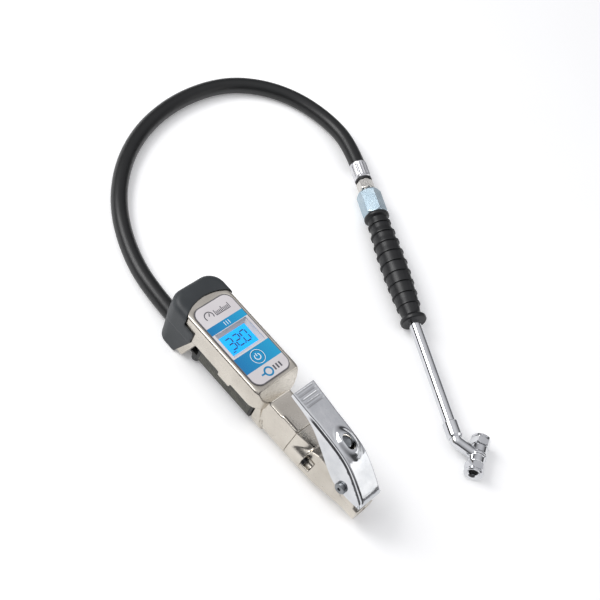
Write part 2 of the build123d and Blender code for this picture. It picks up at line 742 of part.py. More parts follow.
# Valve body -----------------------------------------------------------------------------------------
def valve_body():
    """Front casting with the inlet, the valve chamber and the lever's lug."""
    body = x_turned(TAPER)
    start = Pos(SEAM_X, 0, 0) * deck_section(DECK_HALF, DECK_Z, BARREL_R)
    end_x, end_r = TAPER[1]
    runout = Pos(end_x, 0, 0) * deck_section(DECK_RUNOUT_HALF, end_r, end_r)
    body = body + loft([start, runout])
    side = (
        (BARREL_R + 1.0, -6.0),
        (BARREL_R - 1.2, -6.0),
        (LUG_HALF, 8.0),
        (LUG_HALF, BARREL_R + 2.0),
        (BARREL_R + 1.0, BARREL_R + 2.0),
    )
    relief_face = Plane.YZ * make_face(Polyline(*side, close=True))
    relief = Pos(SIDE_STEP_X, 0, 0) * extrude(relief_face, -SIDE_STEP_X - 14.0)
    body = body - relief - mirror(relief, Plane.XZ)
    spine = side_slab(
        (
            (SIDE_STEP_X, 0.0),
            (SIDE_STEP_X, 15.4),
            (-52.0, BOSS_TOP),
            (-36.0, BOSS_TOP),
            (PIVOT_X - LUG_R, PIVOT_Z),
            (PIVOT_X + LUG_R, PIVOT_Z),
            (-6.0, 10.5),
            (-6.0, 0.0),
        ),
        LUG_HALF,
    )
    body = body + spine + y_rod(LUG_R, -LUG_HALF, LUG_HALF, PIVOT_X, PIVOT_Z)
    body = body - y_rod(PIVOT_R, -LUG_HALF, LUG_HALF, PIVOT_X, PIVOT_Z)
    body = body - x_rod(INLET_R, -INLET_LENGTH, 0.0)
    body = body - x_rod(FILTER_R, FILTER_REAR, -INLET_LENGTH)
    body = body - x_rod(INLET_DUCT_R, VALVE_X, FILTER_REAR, z=INLET_DUCT_Z)
    body = body - z_rod(CHAMBER_R, -BARREL_R, SEAT_LOW + SEAT_HEIGHT, VALVE_X)
    body = body - z_rod(UPPER_ROOM_R, SEAT_LOW + SEAT_HEIGHT, UPPER_ROOM_TOP, VALVE_X)
    body = body - z_rod(STEM_R + RUNNING, UPPER_ROOM_TOP, BOSS_TOP, VALVE_X)
    body = body - x_rod(DUCT_R, SEAM_X, VALVE_X, z=DUCT_Z)
    for y in (-SCREW_Y, SCREW_Y):
        body = body - x_rod(SCREW_R, SEAM_X, SIDE_STEP_X, y, SCREW_Z)
        body = body - x_rod(SCREW_ROOM, SIDE_STEP_X, SIDE_STEP_X + SCREW_ROOM_LENGTH, y, SCREW_Z)
    return body


def assembly_screws():
    """Two socket screws from the side steps into the gauge casting."""
    screws = []
    for y in (-SCREW_Y, SCREW_Y):
        head_end = SIDE_STEP_X + SCREW_HEAD
        head = x_rod(SCREW_HEAD_R, SIDE_STEP_X, head_end, y, SCREW_Z)
        head = head - x_rod(SCREW_SOCKET_R, head_end - SCREW_HEAD / 2, head_end, y, SCREW_Z)
        screws.append(head + x_rod(SCREW_R, SCREW_END, SIDE_STEP_X, y, SCREW_Z))
    return Compound(children=screws)


def inlet_filter():
    """Sintered disc at the end of the inlet thread."""
    return x_rod(FILTER_R, FILTER_REAR, FILTER_REAR + FILTER_LENGTH)


def valve_seat():
    """Seat ring that the poppet closes against."""
    z1 = SEAT_LOW + SEAT_HEIGHT
    return z_rod(CHAMBER_R, SEAT_LOW, z1, VALVE_X) - z_rod(SEAT_BORE_R, SEAT_LOW, z1, VALVE_X)


def valve_plunger():
    """Poppet, stem and pressed cap, which move together."""
    poppet = z_rod(POPPET_R, SPRING_TOP, POPPET_TOP - 2 * RUNNING, VALVE_X)
    stem = z_rod(STEM_R, SPRING_TOP, CAP_TOP - CAP_HEIGHT, VALVE_X)
    cap = z_rod(CAP_R, CAP_TOP - CAP_HEIGHT, CAP_TOP, VALVE_X)
    cap = fillet(cap.faces().sort_by(Axis.Z)[-1].edges(), CAP_ROUND)
    return poppet + stem + cap - plunger_seal()


def plunger_seal():
    """Rubber ring in the stem's groove; it moves with the stem."""
    z0 = UPPER_ROOM_TOP + SEAL_RING_RISE
    ring = z_rod(STEM_R, z0, z0 + 2 * SEAL_RING_R, VALVE_X)
    return ring - z_rod(STEM_R - SEAL_RING_R, z0, z0 + 2 * SEAL_RING_R, VALVE_X)


def valve_spring():
    """Compression spring between the end plug and the poppet."""
    height = SPRING_TOP - CHAMBER_LOW - 2 * SPRING_WIRE_R
    path = Helix(height / SPRING_TURNS, height, SPRING_R)
    start = Plane(origin=path @ 0, z_dir=path % 0)
    coil = sweep(start * Circle(SPRING_WIRE_R), path=path, is_frenet=True)
    return Pos(VALVE_X, 0, CHAMBER_LOW + SPRING_WIRE_R) * coil


def valve_end_plug():
    """Plug that closes the valve chamber from below."""
    plug = z_rod(CHAMBER_R, PLUG_LOW, CHAMBER_LOW, VALVE_X)
    slot_half = PLUG_SLOT / 2
    slot = block(
        VALVE_X - CHAMBER_R, VALVE_X + CHAMBER_R, -slot_half, slot_half, PLUG_LOW, PLUG_LOW + PLUG_SLOT
    )
    return plug - slot


# Lever ----------------------------------------------------------------------------------------------
def lever():
    """Pressed channel with a thumb pad, a domed oval and two cheeks."""
    shell = side_slab((*LEVER_TOP, *LEVER_LOW, (LEVER_TOP[0][0], LEVER_TOP[0][1] - LEVER_LIP)), LEVER_HALF)
    under = [(x - 0.15 * LEVER_WALL * (x > -40), z - LEVER_WALL) for x, z in LEVER_TOP[:-2]]
    under.append((LEVER_TOP[-2][0] - LEVER_WALL, LEVER_TOP[-2][1] - LEVER_WALL))
    room = side_slab(
        (
            (under[0][0] - CUT, under[0][1]),
            *under[1:],
            (under[-1][0], 0.0),
            (under[0][0] - CUT, 0.0),
        ),
        LEVER_IN_HALF,
    )
    skin = shell - room
    (x0, z0), (x1, z1) = LEVER_TOP[1:3]
    dome_z = z0 + (z1 - z0) * (DOME_X - x0) / (x1 - x0)
    turn = Pos(DOME_X, 0, dome_z) * Rot(0, DOME_TURN, 0)
    outer = SlotOverall(DOME_LENGTH, DOME_WIDTH)
    inner = SlotOverall(DOME_LENGTH - LEVER_WALL, DOME_WIDTH - LEVER_WALL)
    slot = SlotOverall(SLOT_LENGTH, SLOT_WIDTH)
    inside = DOME_HEIGHT - LEVER_WALL
    skin = skin + turn * extrude(outer, DOME_HEIGHT, taper=DOME_TAPER)
    skin = skin - turn * extrude(inner, inside, taper=DOME_TAPER) - turn * extrude(inner, -2 * LEVER_WALL)
    skin = skin - turn * extrude(slot, 2 * DOME_HEIGHT)
    for y in (-1, 1):
        skin = skin - y_rod(PIVOT_R + RUNNING, *sorted((y * LEVER_IN_HALF, y * LEVER_HALF)), PIVOT_X, PIVOT_Z)
    return skin


def lever_pivot_screw():
    """Button-head socket screw through both cheeks and the lug."""
    y0 = -LEVER_HALF - FIT
    screw = y_rod(PIVOT_R, y0, LEVER_HALF + FIT + PIVOT_NUT, PIVOT_X, PIVOT_Z)
    head = y_rod(PIVOT_HEAD_R, y0 - PIVOT_HEAD, y0, PIVOT_X, PIVOT_Z)
    head = fillet(head.faces().sort_by(Axis.Y)[0].edges(), PIVOT_HEAD_ROUND)
    socket = extrude(RegularPolygon(PIVOT_SOCKET / 2, 6, major_radius=False), PIVOT_SOCKET / 2)
    return screw + head - Pos(PIVOT_X, y0 - PIVOT_HEAD, PIVOT_Z) * Rot(-90, 0, 0) * socket


def lever_pivot_nut():
    """Nut on the pivot screw's far end."""
    y0 = LEVER_HALF + FIT
    nut = extrude(RegularPolygon(PIVOT_NUT_FLATS / 2, 6, major_radius=False), PIVOT_NUT)
    nut = Pos(PIVOT_X, y0, PIVOT_Z) * Rot(-90, 0, 0) * nut
    return nut - y_rod(PIVOT_R, y0, y0 + PIVOT_NUT, PIVOT_X, PIVOT_Z)


# Hose -----------------------------------------------------------------------------------------------
HOSE_ROUTE = (
    (-214.0, -6.0, -7.5),
    (-256.0, -6.0, -7.5),
    (-300.0, 6.5, -10.5),
    (-342.0, 29.5, -10.5),
    (-376.0, 65.0, -10.5),
    (-398.5, 109.0, -10.5),
    (-408.0, 160.0, -10.5),
    (-402.5, 211.0, -10.5),
    (-382.0, 246.0, -10.5),
    (-352.0, 269.0, -10.5),
    (-313.5, 277.8, -9.0),
    (-277.0, 271.1, -5.0),
    (-243.3, 253.0, -5.0),
)
HOSE_END = Vector(*HOSE_ROUTE[-1])
LANCE_WAY = (HOSE_END - Vector(*HOSE_ROUTE[-2])).normalized()
LANCE_TURN = degrees(atan2(LANCE_WAY.Y, LANCE_WAY.X))
LANCE_START = HOSE_END - LANCE_WAY * (FERRULE_LENGTH - FERRULE_END_WALL)


def lance_point(distance):
    """A place on the lance's axis, so far from the ferrule's hose end."""
    return LANCE_START + LANCE_WAY * distance


def hose():
    """Rubber hose: straight runs joined by tangent arcs."""
    corners = [Vector(*point) for point in HOSE_ROUTE]
    radii = []
    for before, here, after in zip(corners, corners[1:], corners[2:]):
        turn = radians((here - before).get_angle(after - here))
        run = min((here - before).length, (after - here).length)
        radii.append(HOSE_SHARE * run / tan(turn / 2))
    print("hose radii", [round(r) for r in radii])
    path = FilletPolyline(*corners, radius=radii)
    section = Plane(origin=path @ 0, z_dir=path % 0) * (Circle(HOSE_R) - Circle(HOSE_BORE_R))
    tube = sweep(section, path=path)
    expected = pi * (HOSE_R**2 - HOSE_BORE_R**2) * path.length
    print("hose length", round(path.length, 1), "volume ratio", round(tube.volume / expected, 4))
    return tube


# Lance ----------------------------------------------------------------------------------------------
def on_lance(shape):
    """Puts a piece drawn along X from the ferrule's hose end on to the lance's axis."""
    return Pos(*LANCE_START) * Rot(0, 0, LANCE_TURN) * shape


RING_START = FERRULE_LENGTH
STEM_START = RING_START + RING_LENGTH
ADAPTOR_START = STEM_START + STEM_LENGTH
GRIP_START = ADAPTOR_START + ADAPTOR_LENGTH
LANCE_IN = GRIP_START - LANCE_SOCKET
LANCE_OUT = GRIP_START + LANCE_LENGTH
SLEEVE_START = LANCE_OUT - SLEEVE_LAP


def hose_ferrule():
    """Crimped ferrule over the hose end."""
    ferrule = x_rod(FERRULE_R, 0.0, FERRULE_LENGTH) - x_rod(HOSE_R, 0.0, FERRULE_LENGTH - FERRULE_END_WALL)
    ferrule = ferrule - x_rod(HOSE_BORE_R, FERRULE_LENGTH - FERRULE_END_WALL, FERRULE_LENGTH)
    return on_lance(ferrule)


def sealing_ring():
    """Black ring between ferrule and stem."""
    x1 = RING_START + RING_LENGTH
    return on_lance(x_rod(RING_R, RING_START, x1) - x_rod(HOSE_BORE_R, RING_START, x1))


def hose_stem():
    """Stem with a small hexagon and the barb inside the hose."""
    thread_end = ADAPTOR_START + STEM_THREAD
    stem = hexagon_bar(STEM_FLATS, STEM_START, ADAPTOR_START, ADAPTOR_CHAMFER)
    stem = stem + x_rod(HOSE_BORE_R, BARB_START, STEM_START)
    stem = stem + x_rod(STEM_THREAD_R, ADAPTOR_START, thread_end)
    return on_lance(stem - x_rod(STEM_BORE_R, BARB_START, thread_end))


def hex_adaptor():
    """Large hexagon adaptor between stem and lance tube."""
    bar = hexagon_bar(ADAPTOR_FLATS, ADAPTOR_START, GRIP_START, ADAPTOR_CHAMFER)
    bar = bar - x_rod(STEM_THREAD_R, ADAPTOR_START, ADAPTOR_START + STEM_THREAD)
    bar = bar - x_rod(ADAPTOR_BORE_R, ADAPTOR_START, GRIP_START)
    return on_lance(bar - x_rod(LANCE_R, LANCE_IN, GRIP_START))


def grip_profile():
    """(x, radius) outline of the grip: lip, neck, ribs on a belly, and end flange."""
    outline = [
        (GRIP_START, GRIP_LIP_R - 1.0),
        (GRIP_START + 1.0, GRIP_LIP_R),
        (GRIP_START + 3.0, GRIP_LIP_R),
        (GRIP_START + 5.0, GRIP_NECK_R),
    ]
    first = GRIP_START + 10.0
    pitch = (GRIP_LENGTH - 22.0) / GRIP_RIBS
    for i in range(GRIP_RIBS):
        x = first + pitch * i
        share = sin(pi * (i + 0.9) / (GRIP_RIBS + 0.8))
        peak = GRIP_NECK_R + 1.2 + (GRIP_MAX_R - GRIP_NECK_R - 1.2) * share
        outline.append((x, peak - RIB_HEIGHT))
        outline.append((x + 0.4, peak))
        outline.append((x + RIB_LENGTH, peak))
        outline.append((x + RIB_LENGTH + 2.0, peak - RIB_HEIGHT))
    end = GRIP_START + GRIP_LENGTH
    outline.append((end - 8.0, GRIP_NECK_R))
    outline.append((end - 6.0, GRIP_LIP_R - 0.6))
    outline.append((end - 1.0, GRIP_LIP_R))
    outline.append((end, GRIP_LIP_R - 1.0))
    return outline


def grip():
    """Ribbed rubber grip on the lance tube."""
    sleeve = x_turned(grip_profile())
    return on_lance(sleeve - x_rod(LANCE_R, GRIP_START, GRIP_START + GRIP_LENGTH))


def lance_tube():
    """Straight plated tube."""
    return on_lance(x_rod(LANCE_R, LANCE_IN, LANCE_OUT) - x_rod(LANCE_BORE_R, LANCE_IN, LANCE_OUT))


def tube_sleeve():
    """Sleeve brazed on the tube's end."""
    x1 = SLEEVE_START + SLEEVE_LENGTH
    sleeve = x_turned(
        (
            (SLEEVE_START, SLEEVE_R - SLEEVE_CHAMFER),
            (SLEEVE_START + SLEEVE_CHAMFER, SLEEVE_R),
            (x1 - 3 * SLEEVE_CHAMFER, SLEEVE_R),
            (x1, NECK_R + SLEEVE_CHAMFER),
        )
    )
    sleeve = sleeve - x_rod(LANCE_R, SLEEVE_START, LANCE_OUT)
    return on_lance(sleeve - x_rod(NECK_R, LANCE_OUT, x1))


# Twin chuck -----------------------------------------------------------------------------------------
LANCE_ASIDE = Vector(-LANCE_WAY.Y, LANCE_WAY.X, 0.0)
HEAD_OVER = lance_point(LANCE_OUT + SLEEVE_LENGTH + HEAD_AHEAD) + LANCE_ASIDE * HEAD_ASIDE
HEAD_CENTRE = Vector(HEAD_OVER.X, HEAD_OVER.Y, TABLE_Z + MOUTH_FLANGE_R)


def on_head(shape):
    """Puts a piece drawn along X about the chuck's middle on to the head's axis."""
    return Pos(*HEAD_CENTRE) * Rot(0, 0, LANCE_TURN + HEAD_TURN) * shape


def chuck_neck():
    """Bent neck from the sleeve into the side of the chuck body."""
    start = lance_point(LANCE_OUT)
    knee = lance_point(LANCE_OUT + SLEEVE_LENGTH)
    rod = extrude(Plane(origin=start, z_dir=LANCE_WAY) * Circle(NECK_R), SLEEVE_LENGTH)
    reach = HEAD_CENTRE - knee
    rod = rod + extrude(Plane(origin=knee, z_dir=reach) * Circle(NECK_R), reach.length)
    return rod + Pos(*knee) * Sphere(NECK_R)


def chuck_body():
    """Cross-drilled body with its neck."""
    thread_end = HEAD_CORE_HALF + HEAD_THREAD
    core = x_rod(HEAD_CORE_R, -HEAD_CORE_HALF, HEAD_CORE_HALF)
    core = core + x_rod(HEAD_BEAD_R, -HEAD_BEAD_HALF, HEAD_BEAD_HALF)
    core = core + x_rod(CAP_THREAD_R, -thread_end, thread_end)
    return on_head(core) + chuck_neck() - on_head(x_rod(HEAD_BORE_R, -thread_end, thread_end))


def chuck_caps():
    """Hexagon cap with a valve mouth at each end."""
    caps = []
    for way in (-1, 1):
        x0 = HEAD_CORE_HALF
        x1 = x0 + CHUCK_CAP_LENGTH
        cap = Rot(30, 0, 0) * hexagon_bar(CAP_FLATS, x0, x1 - CAP_SKIRT, CAP_CHAMFER)
        cap = cap + x_turned(
            (
                (x1 - CAP_SKIRT, CAP_FLATS / 2 - CAP_CHAMFER),
                (x1 - CAP_SKIRT / 2, MOUTH_FLANGE_R),
                (x1, MOUTH_FLANGE_R),
            )
        )
        cap = cap - x_rod(CAP_THREAD_R, x0, x0 + HEAD_THREAD + WASHER_THICK)
        cap = cap - x_rod(MOUTH_R, x0, x1)
        caps.append(on_head(Rot(0, 0, 0 if way > 0 else 180) * cap))
    return Compound(children=caps)


def chuck_washers():
    """Rubber washer behind each mouth."""
    washers = []
    for way in (-1, 1):
        x0 = HEAD_CORE_HALF + HEAD_THREAD
        washer = x_rod(CAP_THREAD_R, x0, x0 + WASHER_THICK) - x_rod(WASHER_BORE_R, x0, x0 + WASHER_THICK)
        washers.append(on_head(Rot(0, 0, 0 if way > 0 else 180) * washer))
    return Compound(children=washers)


def chuck_shuttle():
    """Double-ended pin that opens the tyre's valve and shuts the mouth not in use."""
    thread_end = HEAD_CORE_HALF + HEAD_THREAD
    half = thread_end - SHUTTLE_TRAVEL - FIT
    pin = thread_end + WASHER_THICK - FIT
    waist = half - SHUTTLE_GUIDE
    shuttle = x_rod(HEAD_BORE_R - RUNNING, -half, half) - x_rod(HEAD_BORE_R, -waist, waist)
    shuttle = shuttle + x_rod(SHUTTLE_WAIST_R, -half, half) + x_rod(SHUTTLE_PIN_R, -pin, pin)
    return on_head(shuttle)


# Build ----------------------------------------------------------------------------------------------
PIECES = {
    "gauge_casting": gauge_casting(),
    "rubber_boot": rubber_boot(),
    "label_gasket": label_gasket(),
    "label_panel": label_panel(),
    "display_frame": display_frame(),
    "display_window": display_window(),
    "lcd_panel": lcd_panel(),
    "backlight_panel": backlight_panel(),
    "display_pad": display_pad(),
    "circuit_board": circuit_board(),
    "board_screws": board_screws(),
    "pressure_sensor": pressure_sensor(),
    "dome_switch": dome_switch(),
    "unit_button": unit_button(),
    "battery_tray": battery_tray(),
    "battery_cells": battery_cells(),
    "battery_contacts": battery_contacts(),
    "battery_cover": battery_cover(),
    "cover_gasket": cover_gasket(),
    "cover_thumbscrew": cover_thumbscrew(),
    "transfer_tube": transfer_tube(),
    "transfer_seals": transfer_seals(),
    "hose_tail": hose_tail(),
    "valve_body": valve_body(),
    "assembly_screws": assembly_screws(),
    "inlet_filter": inlet_filter(),
    "valve_seat": valve_seat(),
    "valve_plunger": valve_plunger(),
    "plunger_seal": plunger_seal(),
    "valve_spring": valve_spring(),
    "valve_end_plug": valve_end_plug(),
    "lever": lever(),
    "lever_pivot_screw": lever_pivot_screw(),
    "lever_pivot_nut": lever_pivot_nut(),
    "hose": hose(),
    "hose_ferrule": hose_ferrule(),
    "sealing_ring": sealing_ring(),
    "hose_stem": hose_stem(),
    "hex_adaptor": hex_adaptor(),
    "grip": grip(),
    "lance_tube": lance_tube(),
    "tube_sleeve": tube_sleeve(),
    "chuck_body": chuck_body(),
    "chuck_caps": chuck_caps(),
    "chuck_washers": chuck_washers(),
    "chuck_shuttle": chuck_shuttle(),
}

os.makedirs("parts", exist_ok=True)
for name, piece in PIECES.items():
    export_step(piece, f"parts/{name}.step")
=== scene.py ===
"""Looks of the hand-held tyre inflator: its gauge, valve and lever, hose, lance and twin chuck."""
from math import cos, pi, radians, sin

import bmesh
import bpy
import numpy as np
from mathutils import Matrix, Vector


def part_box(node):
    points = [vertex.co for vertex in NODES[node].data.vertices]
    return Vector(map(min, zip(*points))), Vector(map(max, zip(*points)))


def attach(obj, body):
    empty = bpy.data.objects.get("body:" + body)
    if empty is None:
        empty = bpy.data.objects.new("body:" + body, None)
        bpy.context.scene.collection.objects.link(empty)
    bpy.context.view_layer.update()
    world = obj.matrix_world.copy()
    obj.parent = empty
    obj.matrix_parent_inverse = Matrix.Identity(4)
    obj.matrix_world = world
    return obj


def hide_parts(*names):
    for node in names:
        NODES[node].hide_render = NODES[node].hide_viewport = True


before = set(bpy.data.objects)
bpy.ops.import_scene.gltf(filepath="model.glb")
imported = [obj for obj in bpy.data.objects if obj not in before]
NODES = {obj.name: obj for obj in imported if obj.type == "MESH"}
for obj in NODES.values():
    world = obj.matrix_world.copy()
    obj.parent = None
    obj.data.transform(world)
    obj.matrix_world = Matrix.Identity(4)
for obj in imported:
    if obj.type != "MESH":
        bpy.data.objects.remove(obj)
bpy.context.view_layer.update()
MM = 0.001

# Camera ---------------------------------------------------------------------------------------------
# A long lens looks down on the object from the front right, rolled so that the body lies aslant.
AZIMUTH = radians(21.7)
ELEVATION = radians(51.0)
ROLL = radians(30.0)
AIM = Vector((-174.26, 96.26, 0.0)) * MM
DISTANCE = 1.15
SENSOR_WIDTH = 36.0
LENS = 79.57
back = Vector((sin(AZIMUTH) * cos(ELEVATION), -cos(AZIMUTH) * cos(ELEVATION), sin(ELEVATION)))
level = Vector((cos(AZIMUTH), sin(AZIMUTH), 0.0))
rise = back.cross(level)
right = cos(ROLL) * level + sin(ROLL) * rise
upward = cos(ROLL) * rise - sin(ROLL) * level
camera_data = bpy.data.cameras.new("camera")
camera_data.sensor_width = SENSOR_WIDTH
camera_data.lens = LENS
camera = bpy.data.objects.new("camera", camera_data)
bpy.context.scene.collection.objects.link(camera)
turn = Matrix((right, upward, back)).transposed().to_4x4()
camera.matrix_world = Matrix.Translation(AIM + back * DISTANCE) @ turn
bpy.context.scene.camera = camera


# Hose -----------------------------------------------------------------------------------------------
# Black rubber air hose with a textile braid inside, extruded and cured. It is pushed on a barbed tail
# inside the rear block, leaves through the boot, and lies on the table in one wide bend.
HOSE_R = 7.5
HOSE_ROUTE = (
    (-214.0, -6.0, -7.5),
    (-256.0, -6.0, -7.5),
    (-300.0, 6.5, -10.5),
    (-342.0, 29.5, -10.5),
    (-376.0, 65.0, -10.5),
    (-398.5, 109.0, -10.5),
    (-408.0, 160.0, -10.5),
    (-402.5, 211.0, -10.5),
    (-382.0, 246.0, -10.5),
    (-352.0, 269.0, -10.5),
    (-313.5, 277.8, -9.0),
    (-277.0, 271.1, -5.0),
    (-243.3, 253.0, -5.0),
)


def linear(code):
    """Linear RGBA from an sRGB hex code, each channel taken back through the sRGB curve."""
    channels = [int(code[i : i + 2], 16) / 255 for i in (1, 3, 5)]
    return (*[c / 12.92 if c <= 0.04045 else ((c + 0.055) / 1.055) ** 2.4 for c in channels], 1.0)


def add_node(tree, kind, inputs=(), **settings):
    """Adds a node with its settings; inputs gives each socket a value or another node's output."""
    node = tree.nodes.new("ShaderNode" + kind)
    for key, value in settings.items():
        setattr(node, key, value)
    for socket, value in dict(inputs).items():
        if isinstance(value, bpy.types.NodeSocket):
            tree.links.new(value, node.inputs[socket])
        else:
            node.inputs[socket].default_value = value
    return node


def surface(name, light, dark, patch, rough, grain, depth, **sockets):
    """A material whose colour drifts between two hex values over patches of that many millimetres,
    whose roughness drifts between two values, and whose surface has a grain of a size and depth."""
    made = bpy.data.materials.new(name)
    made.use_nodes = True
    tree = made.node_tree
    shader = tree.nodes["Principled BSDF"]
    where = add_node(tree, "TexCoord").outputs["Object"]
    drift = add_node(tree, "TexNoise", {"Vector": where, "Scale": 1 / (patch * MM), "Detail": 3.0})
    blend = add_node(tree, "MapRange", {"Value": drift.outputs["Fac"], "From Min": 0.35, "From Max": 0.65})
    shades = {"Factor": blend.outputs["Result"], 6: linear(dark), 7: linear(light)}
    colour = add_node(tree, "Mix", shades, data_type="RGBA")
    fine = add_node(tree, "TexNoise", {"Vector": where, "Scale": 1 / (grain * MM), "Detail": 2.0})
    span = {"From Min": 0.3, "From Max": 0.7, "To Min": rough[0], "To Max": rough[1]}
    gloss = add_node(tree, "MapRange", {"Value": fine.outputs["Fac"], **span})
    relief = add_node(tree, "Bump", {"Height": fine.outputs["Fac"], "Strength": 1.0, "Distance": depth * MM})
    tree.links.new(colour.outputs[2], shader.inputs["Base Color"])
    tree.links.new(gloss.outputs["Result"], shader.inputs["Roughness"])
    tree.links.new(relief.outputs["Normal"], shader.inputs["Normal"])
    for socket, value in sockets.items():
        shader.inputs[socket.replace("_", " ")].default_value = value
    return made


# Extruded rubber: near black, half matt, with the faint mottling of the curing wrap.
hose_rubber = surface("extruded_hose_rubber", "#0F1011", "#0A0B0C", 9.0, (0.34, 0.46), 0.8, 0.03)
hose_line = bpy.data.curves.new("air_hose", "CURVE")
hose_line.dimensions = "3D"
hose_spline = hose_line.splines.new("NURBS")
hose_spline.points.add(len(HOSE_ROUTE) - 1)
for point, place in zip(hose_spline.points, HOSE_ROUTE):
    point.co = (*(Vector(place) * MM), 1.0)
hose_spline.order_u = 3
hose_spline.use_endpoint_u = True
hose_line.resolution_u = 16
hose_line.bevel_depth = HOSE_R * MM
hose_line.bevel_resolution = 10
hose_line.use_fill_caps = True
hose_line.materials.append(hose_rubber)
air_hose = bpy.data.objects.new("air_hose", hose_line)
bpy.context.scene.collection.objects.link(air_hose)
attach(air_hose, "root")
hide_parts("hose")


# Studio ---------------------------------------------------------------------------------------------
# A white table under a soft sky that is darkest a third of the way up, where the plated pieces mirror
# it. A broad key light stands high on the left; a fill and an edge light are weak.
TABLE_Z = -18.0
TABLE_HALF = 4.0
TABLE_GLOW = 0.14
SKY_LOW = (0.40, 0.40, 0.42, 1.0)
SKY_TOP = (0.95, 0.96, 0.98, 1.0)
SKY_SHADES = ((0.10, 0.10), (0.34, 0.07), (0.50, 0.34), (0.68, 0.52), (0.82, 0.66))
SKY_BLUE = 1.04
table_mesh = bpy.data.meshes.new("table")
signs = ((-1, -1), (1, -1), (1, 1), (-1, 1))
table_corners = [(a * TABLE_HALF, b * TABLE_HALF, TABLE_Z * MM) for a, b in signs]
table_mesh.from_pydata(table_corners, [], [(0, 1, 2, 3)])
table = bpy.data.objects.new("table", table_mesh)
bpy.context.scene.collection.objects.link(table)
# Matt white paper, lifted a little so that it stays white where the object shades it.
table_paper = surface(
    "matt_white_paper", "#FFFFFF", "#FCFCFC", 300.0, (0.9, 0.95), 4.0, 0.0,
    Emission_Color=linear("#FFFFFF"), Emission_Strength=TABLE_GLOW,
)
table_mesh.materials.append(table_paper)

world = bpy.data.worlds.new("studio")
world.use_nodes = True
sky = world.node_tree
direction = add_node(sky, "TexCoord").outputs["Generated"]
height = add_node(sky, "SeparateXYZ", {"Vector": direction}).outputs["Z"]
band = add_node(sky, "ValToRGB", {"Fac": height})
band.color_ramp.elements[0].color = SKY_LOW
band.color_ramp.elements[1].color = SKY_TOP
for position, shade in SKY_SHADES:
    stop = band.color_ramp.elements.new(position)
    stop.color = (shade, shade, shade * SKY_BLUE, 1.0)
sky.links.new(band.outputs["Color"], sky.nodes["Background"].inputs["Color"])
sky.nodes["Background"].inputs["Strength"].default_value = 1.0
bpy.context.scene.world = world
bpy.context.scene.view_settings.view_transform = "Standard"


def soft_light(name, place, aim, size, power):
    """A square area light at a place in metres, turned towards another."""
    lamp = bpy.data.lights.new(name, "AREA")
    lamp.size = size
    lamp.energy = power
    holder = bpy.data.objects.new(name, lamp)
    bpy.context.scene.collection.objects.link(holder)
    holder.location = place
    holder.rotation_euler = (Vector(aim) - Vector(place)).to_track_quat("-Z", "Y").to_euler()


soft_light("key_light", (-1.2, -0.5, 1.0), AIM, 0.8, 14.0)
soft_light("fill_light", (-0.45, -0.70, 0.85), AIM, 0.45, 2.0)
soft_light("edge_light", (0.77, 0.86, 0.50), AIM, 0.7, 2.0)


# Gauge casting --------------------------------------------------------------------------------------
# Pod, rear block, collar and barrel are one zinc die casting with soft drafted edges. It is vibrated
# smooth and plated with satin nickel, which looks warm and pearly. The deck has a short cast rib.
RIB_X = (-94.0, -77.6)
RIB_Y = -10.8
RIB_Z = (20.6, 22.3)
RIB_HALF = 0.8


def box_mesh(work, low, high):
    """Adds a closed box between two corners, in millimetres, to a bmesh."""
    (x0, y0, z0), (x1, y1, z1) = low, high
    verts = [work.verts.new(Vector((x, y, z)) * MM) for x in (x0, x1) for y in (y0, y1) for z in (z0, z1)]
    for face in ((0, 1, 3, 2), (4, 6, 7, 5), (0, 4, 5, 1), (2, 3, 7, 6), (0, 2, 6, 4), (1, 5, 7, 3)):
        work.faces.new([verts[i] for i in face])


def soft_copy(node, name, cell, passes, extras=()):
    """A copy of a CAD node, rebuilt on even cells of that many millimetres with any extra boxes, then
    averaged with its neighbours that many times, which rounds its edges as moulding or casting does."""
    work = bmesh.new()
    work.from_mesh(NODES[node].data)
    bmesh.ops.remove_doubles(work, verts=work.verts, dist=0.001 * MM)
    for low, high in extras:
        box_mesh(work, low, high)
    shape = bpy.data.meshes.new(name)
    work.to_mesh(shape)
    work.free()
    shape.materials.clear()
    piece = bpy.data.objects.new(name, shape)
    bpy.context.scene.collection.objects.link(piece)
    cells = piece.modifiers.new("cells", "REMESH")
    cells.mode = "VOXEL"
    cells.voxel_size = cell * MM
    cells.use_smooth_shade = True
    average = piece.modifiers.new("average", "SMOOTH")
    average.factor = 0.5
    average.iterations = passes
    apply_modifiers(piece)
    return piece


def apply_modifiers(piece):
    """Makes what the modifiers give the piece's own mesh."""
    result = bpy.data.meshes.new_from_object(piece.evaluated_get(bpy.context.evaluated_depsgraph_get()))
    piece.modifiers.clear()
    result.name = piece.name
    piece.data = result


def finish_piece(piece, body, slot, look, *nodes):
    """Gives a new piece its material and body, and hides the CAD nodes it stands for; the slot argument is not
    used.
    """
    piece.data.materials.clear()
    piece.data.materials.append(look)
    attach(piece, body)
    if nodes:
        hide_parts(*nodes)


def dress(look, *names):
    """Puts a material on CAD nodes that keep their own shape."""
    for name in names:
        mesh = NODES[name].data
        mesh.materials.clear()
        mesh.materials.append(look)


# Satin nickel on a zinc casting: a warm metal, fairly rough, with the faint unevenness of tumbling.
satin_nickel = surface(
    "satin_nickel_casting", "#D2CCC2", "#C0BAB0", 30.0, (0.20, 0.28), 2.4, 0.008, Metallic=1.0
)
rib = ((RIB_X[0], RIB_Y - RIB_HALF, RIB_Z[0]), (RIB_X[1], RIB_Y + RIB_HALF, RIB_Z[1]))
casting = soft_copy("gauge_casting", "gauge_body", 0.85, 5, [rib])
finish_piece(casting, "root", "casting", satin_nickel, "gauge_casting")


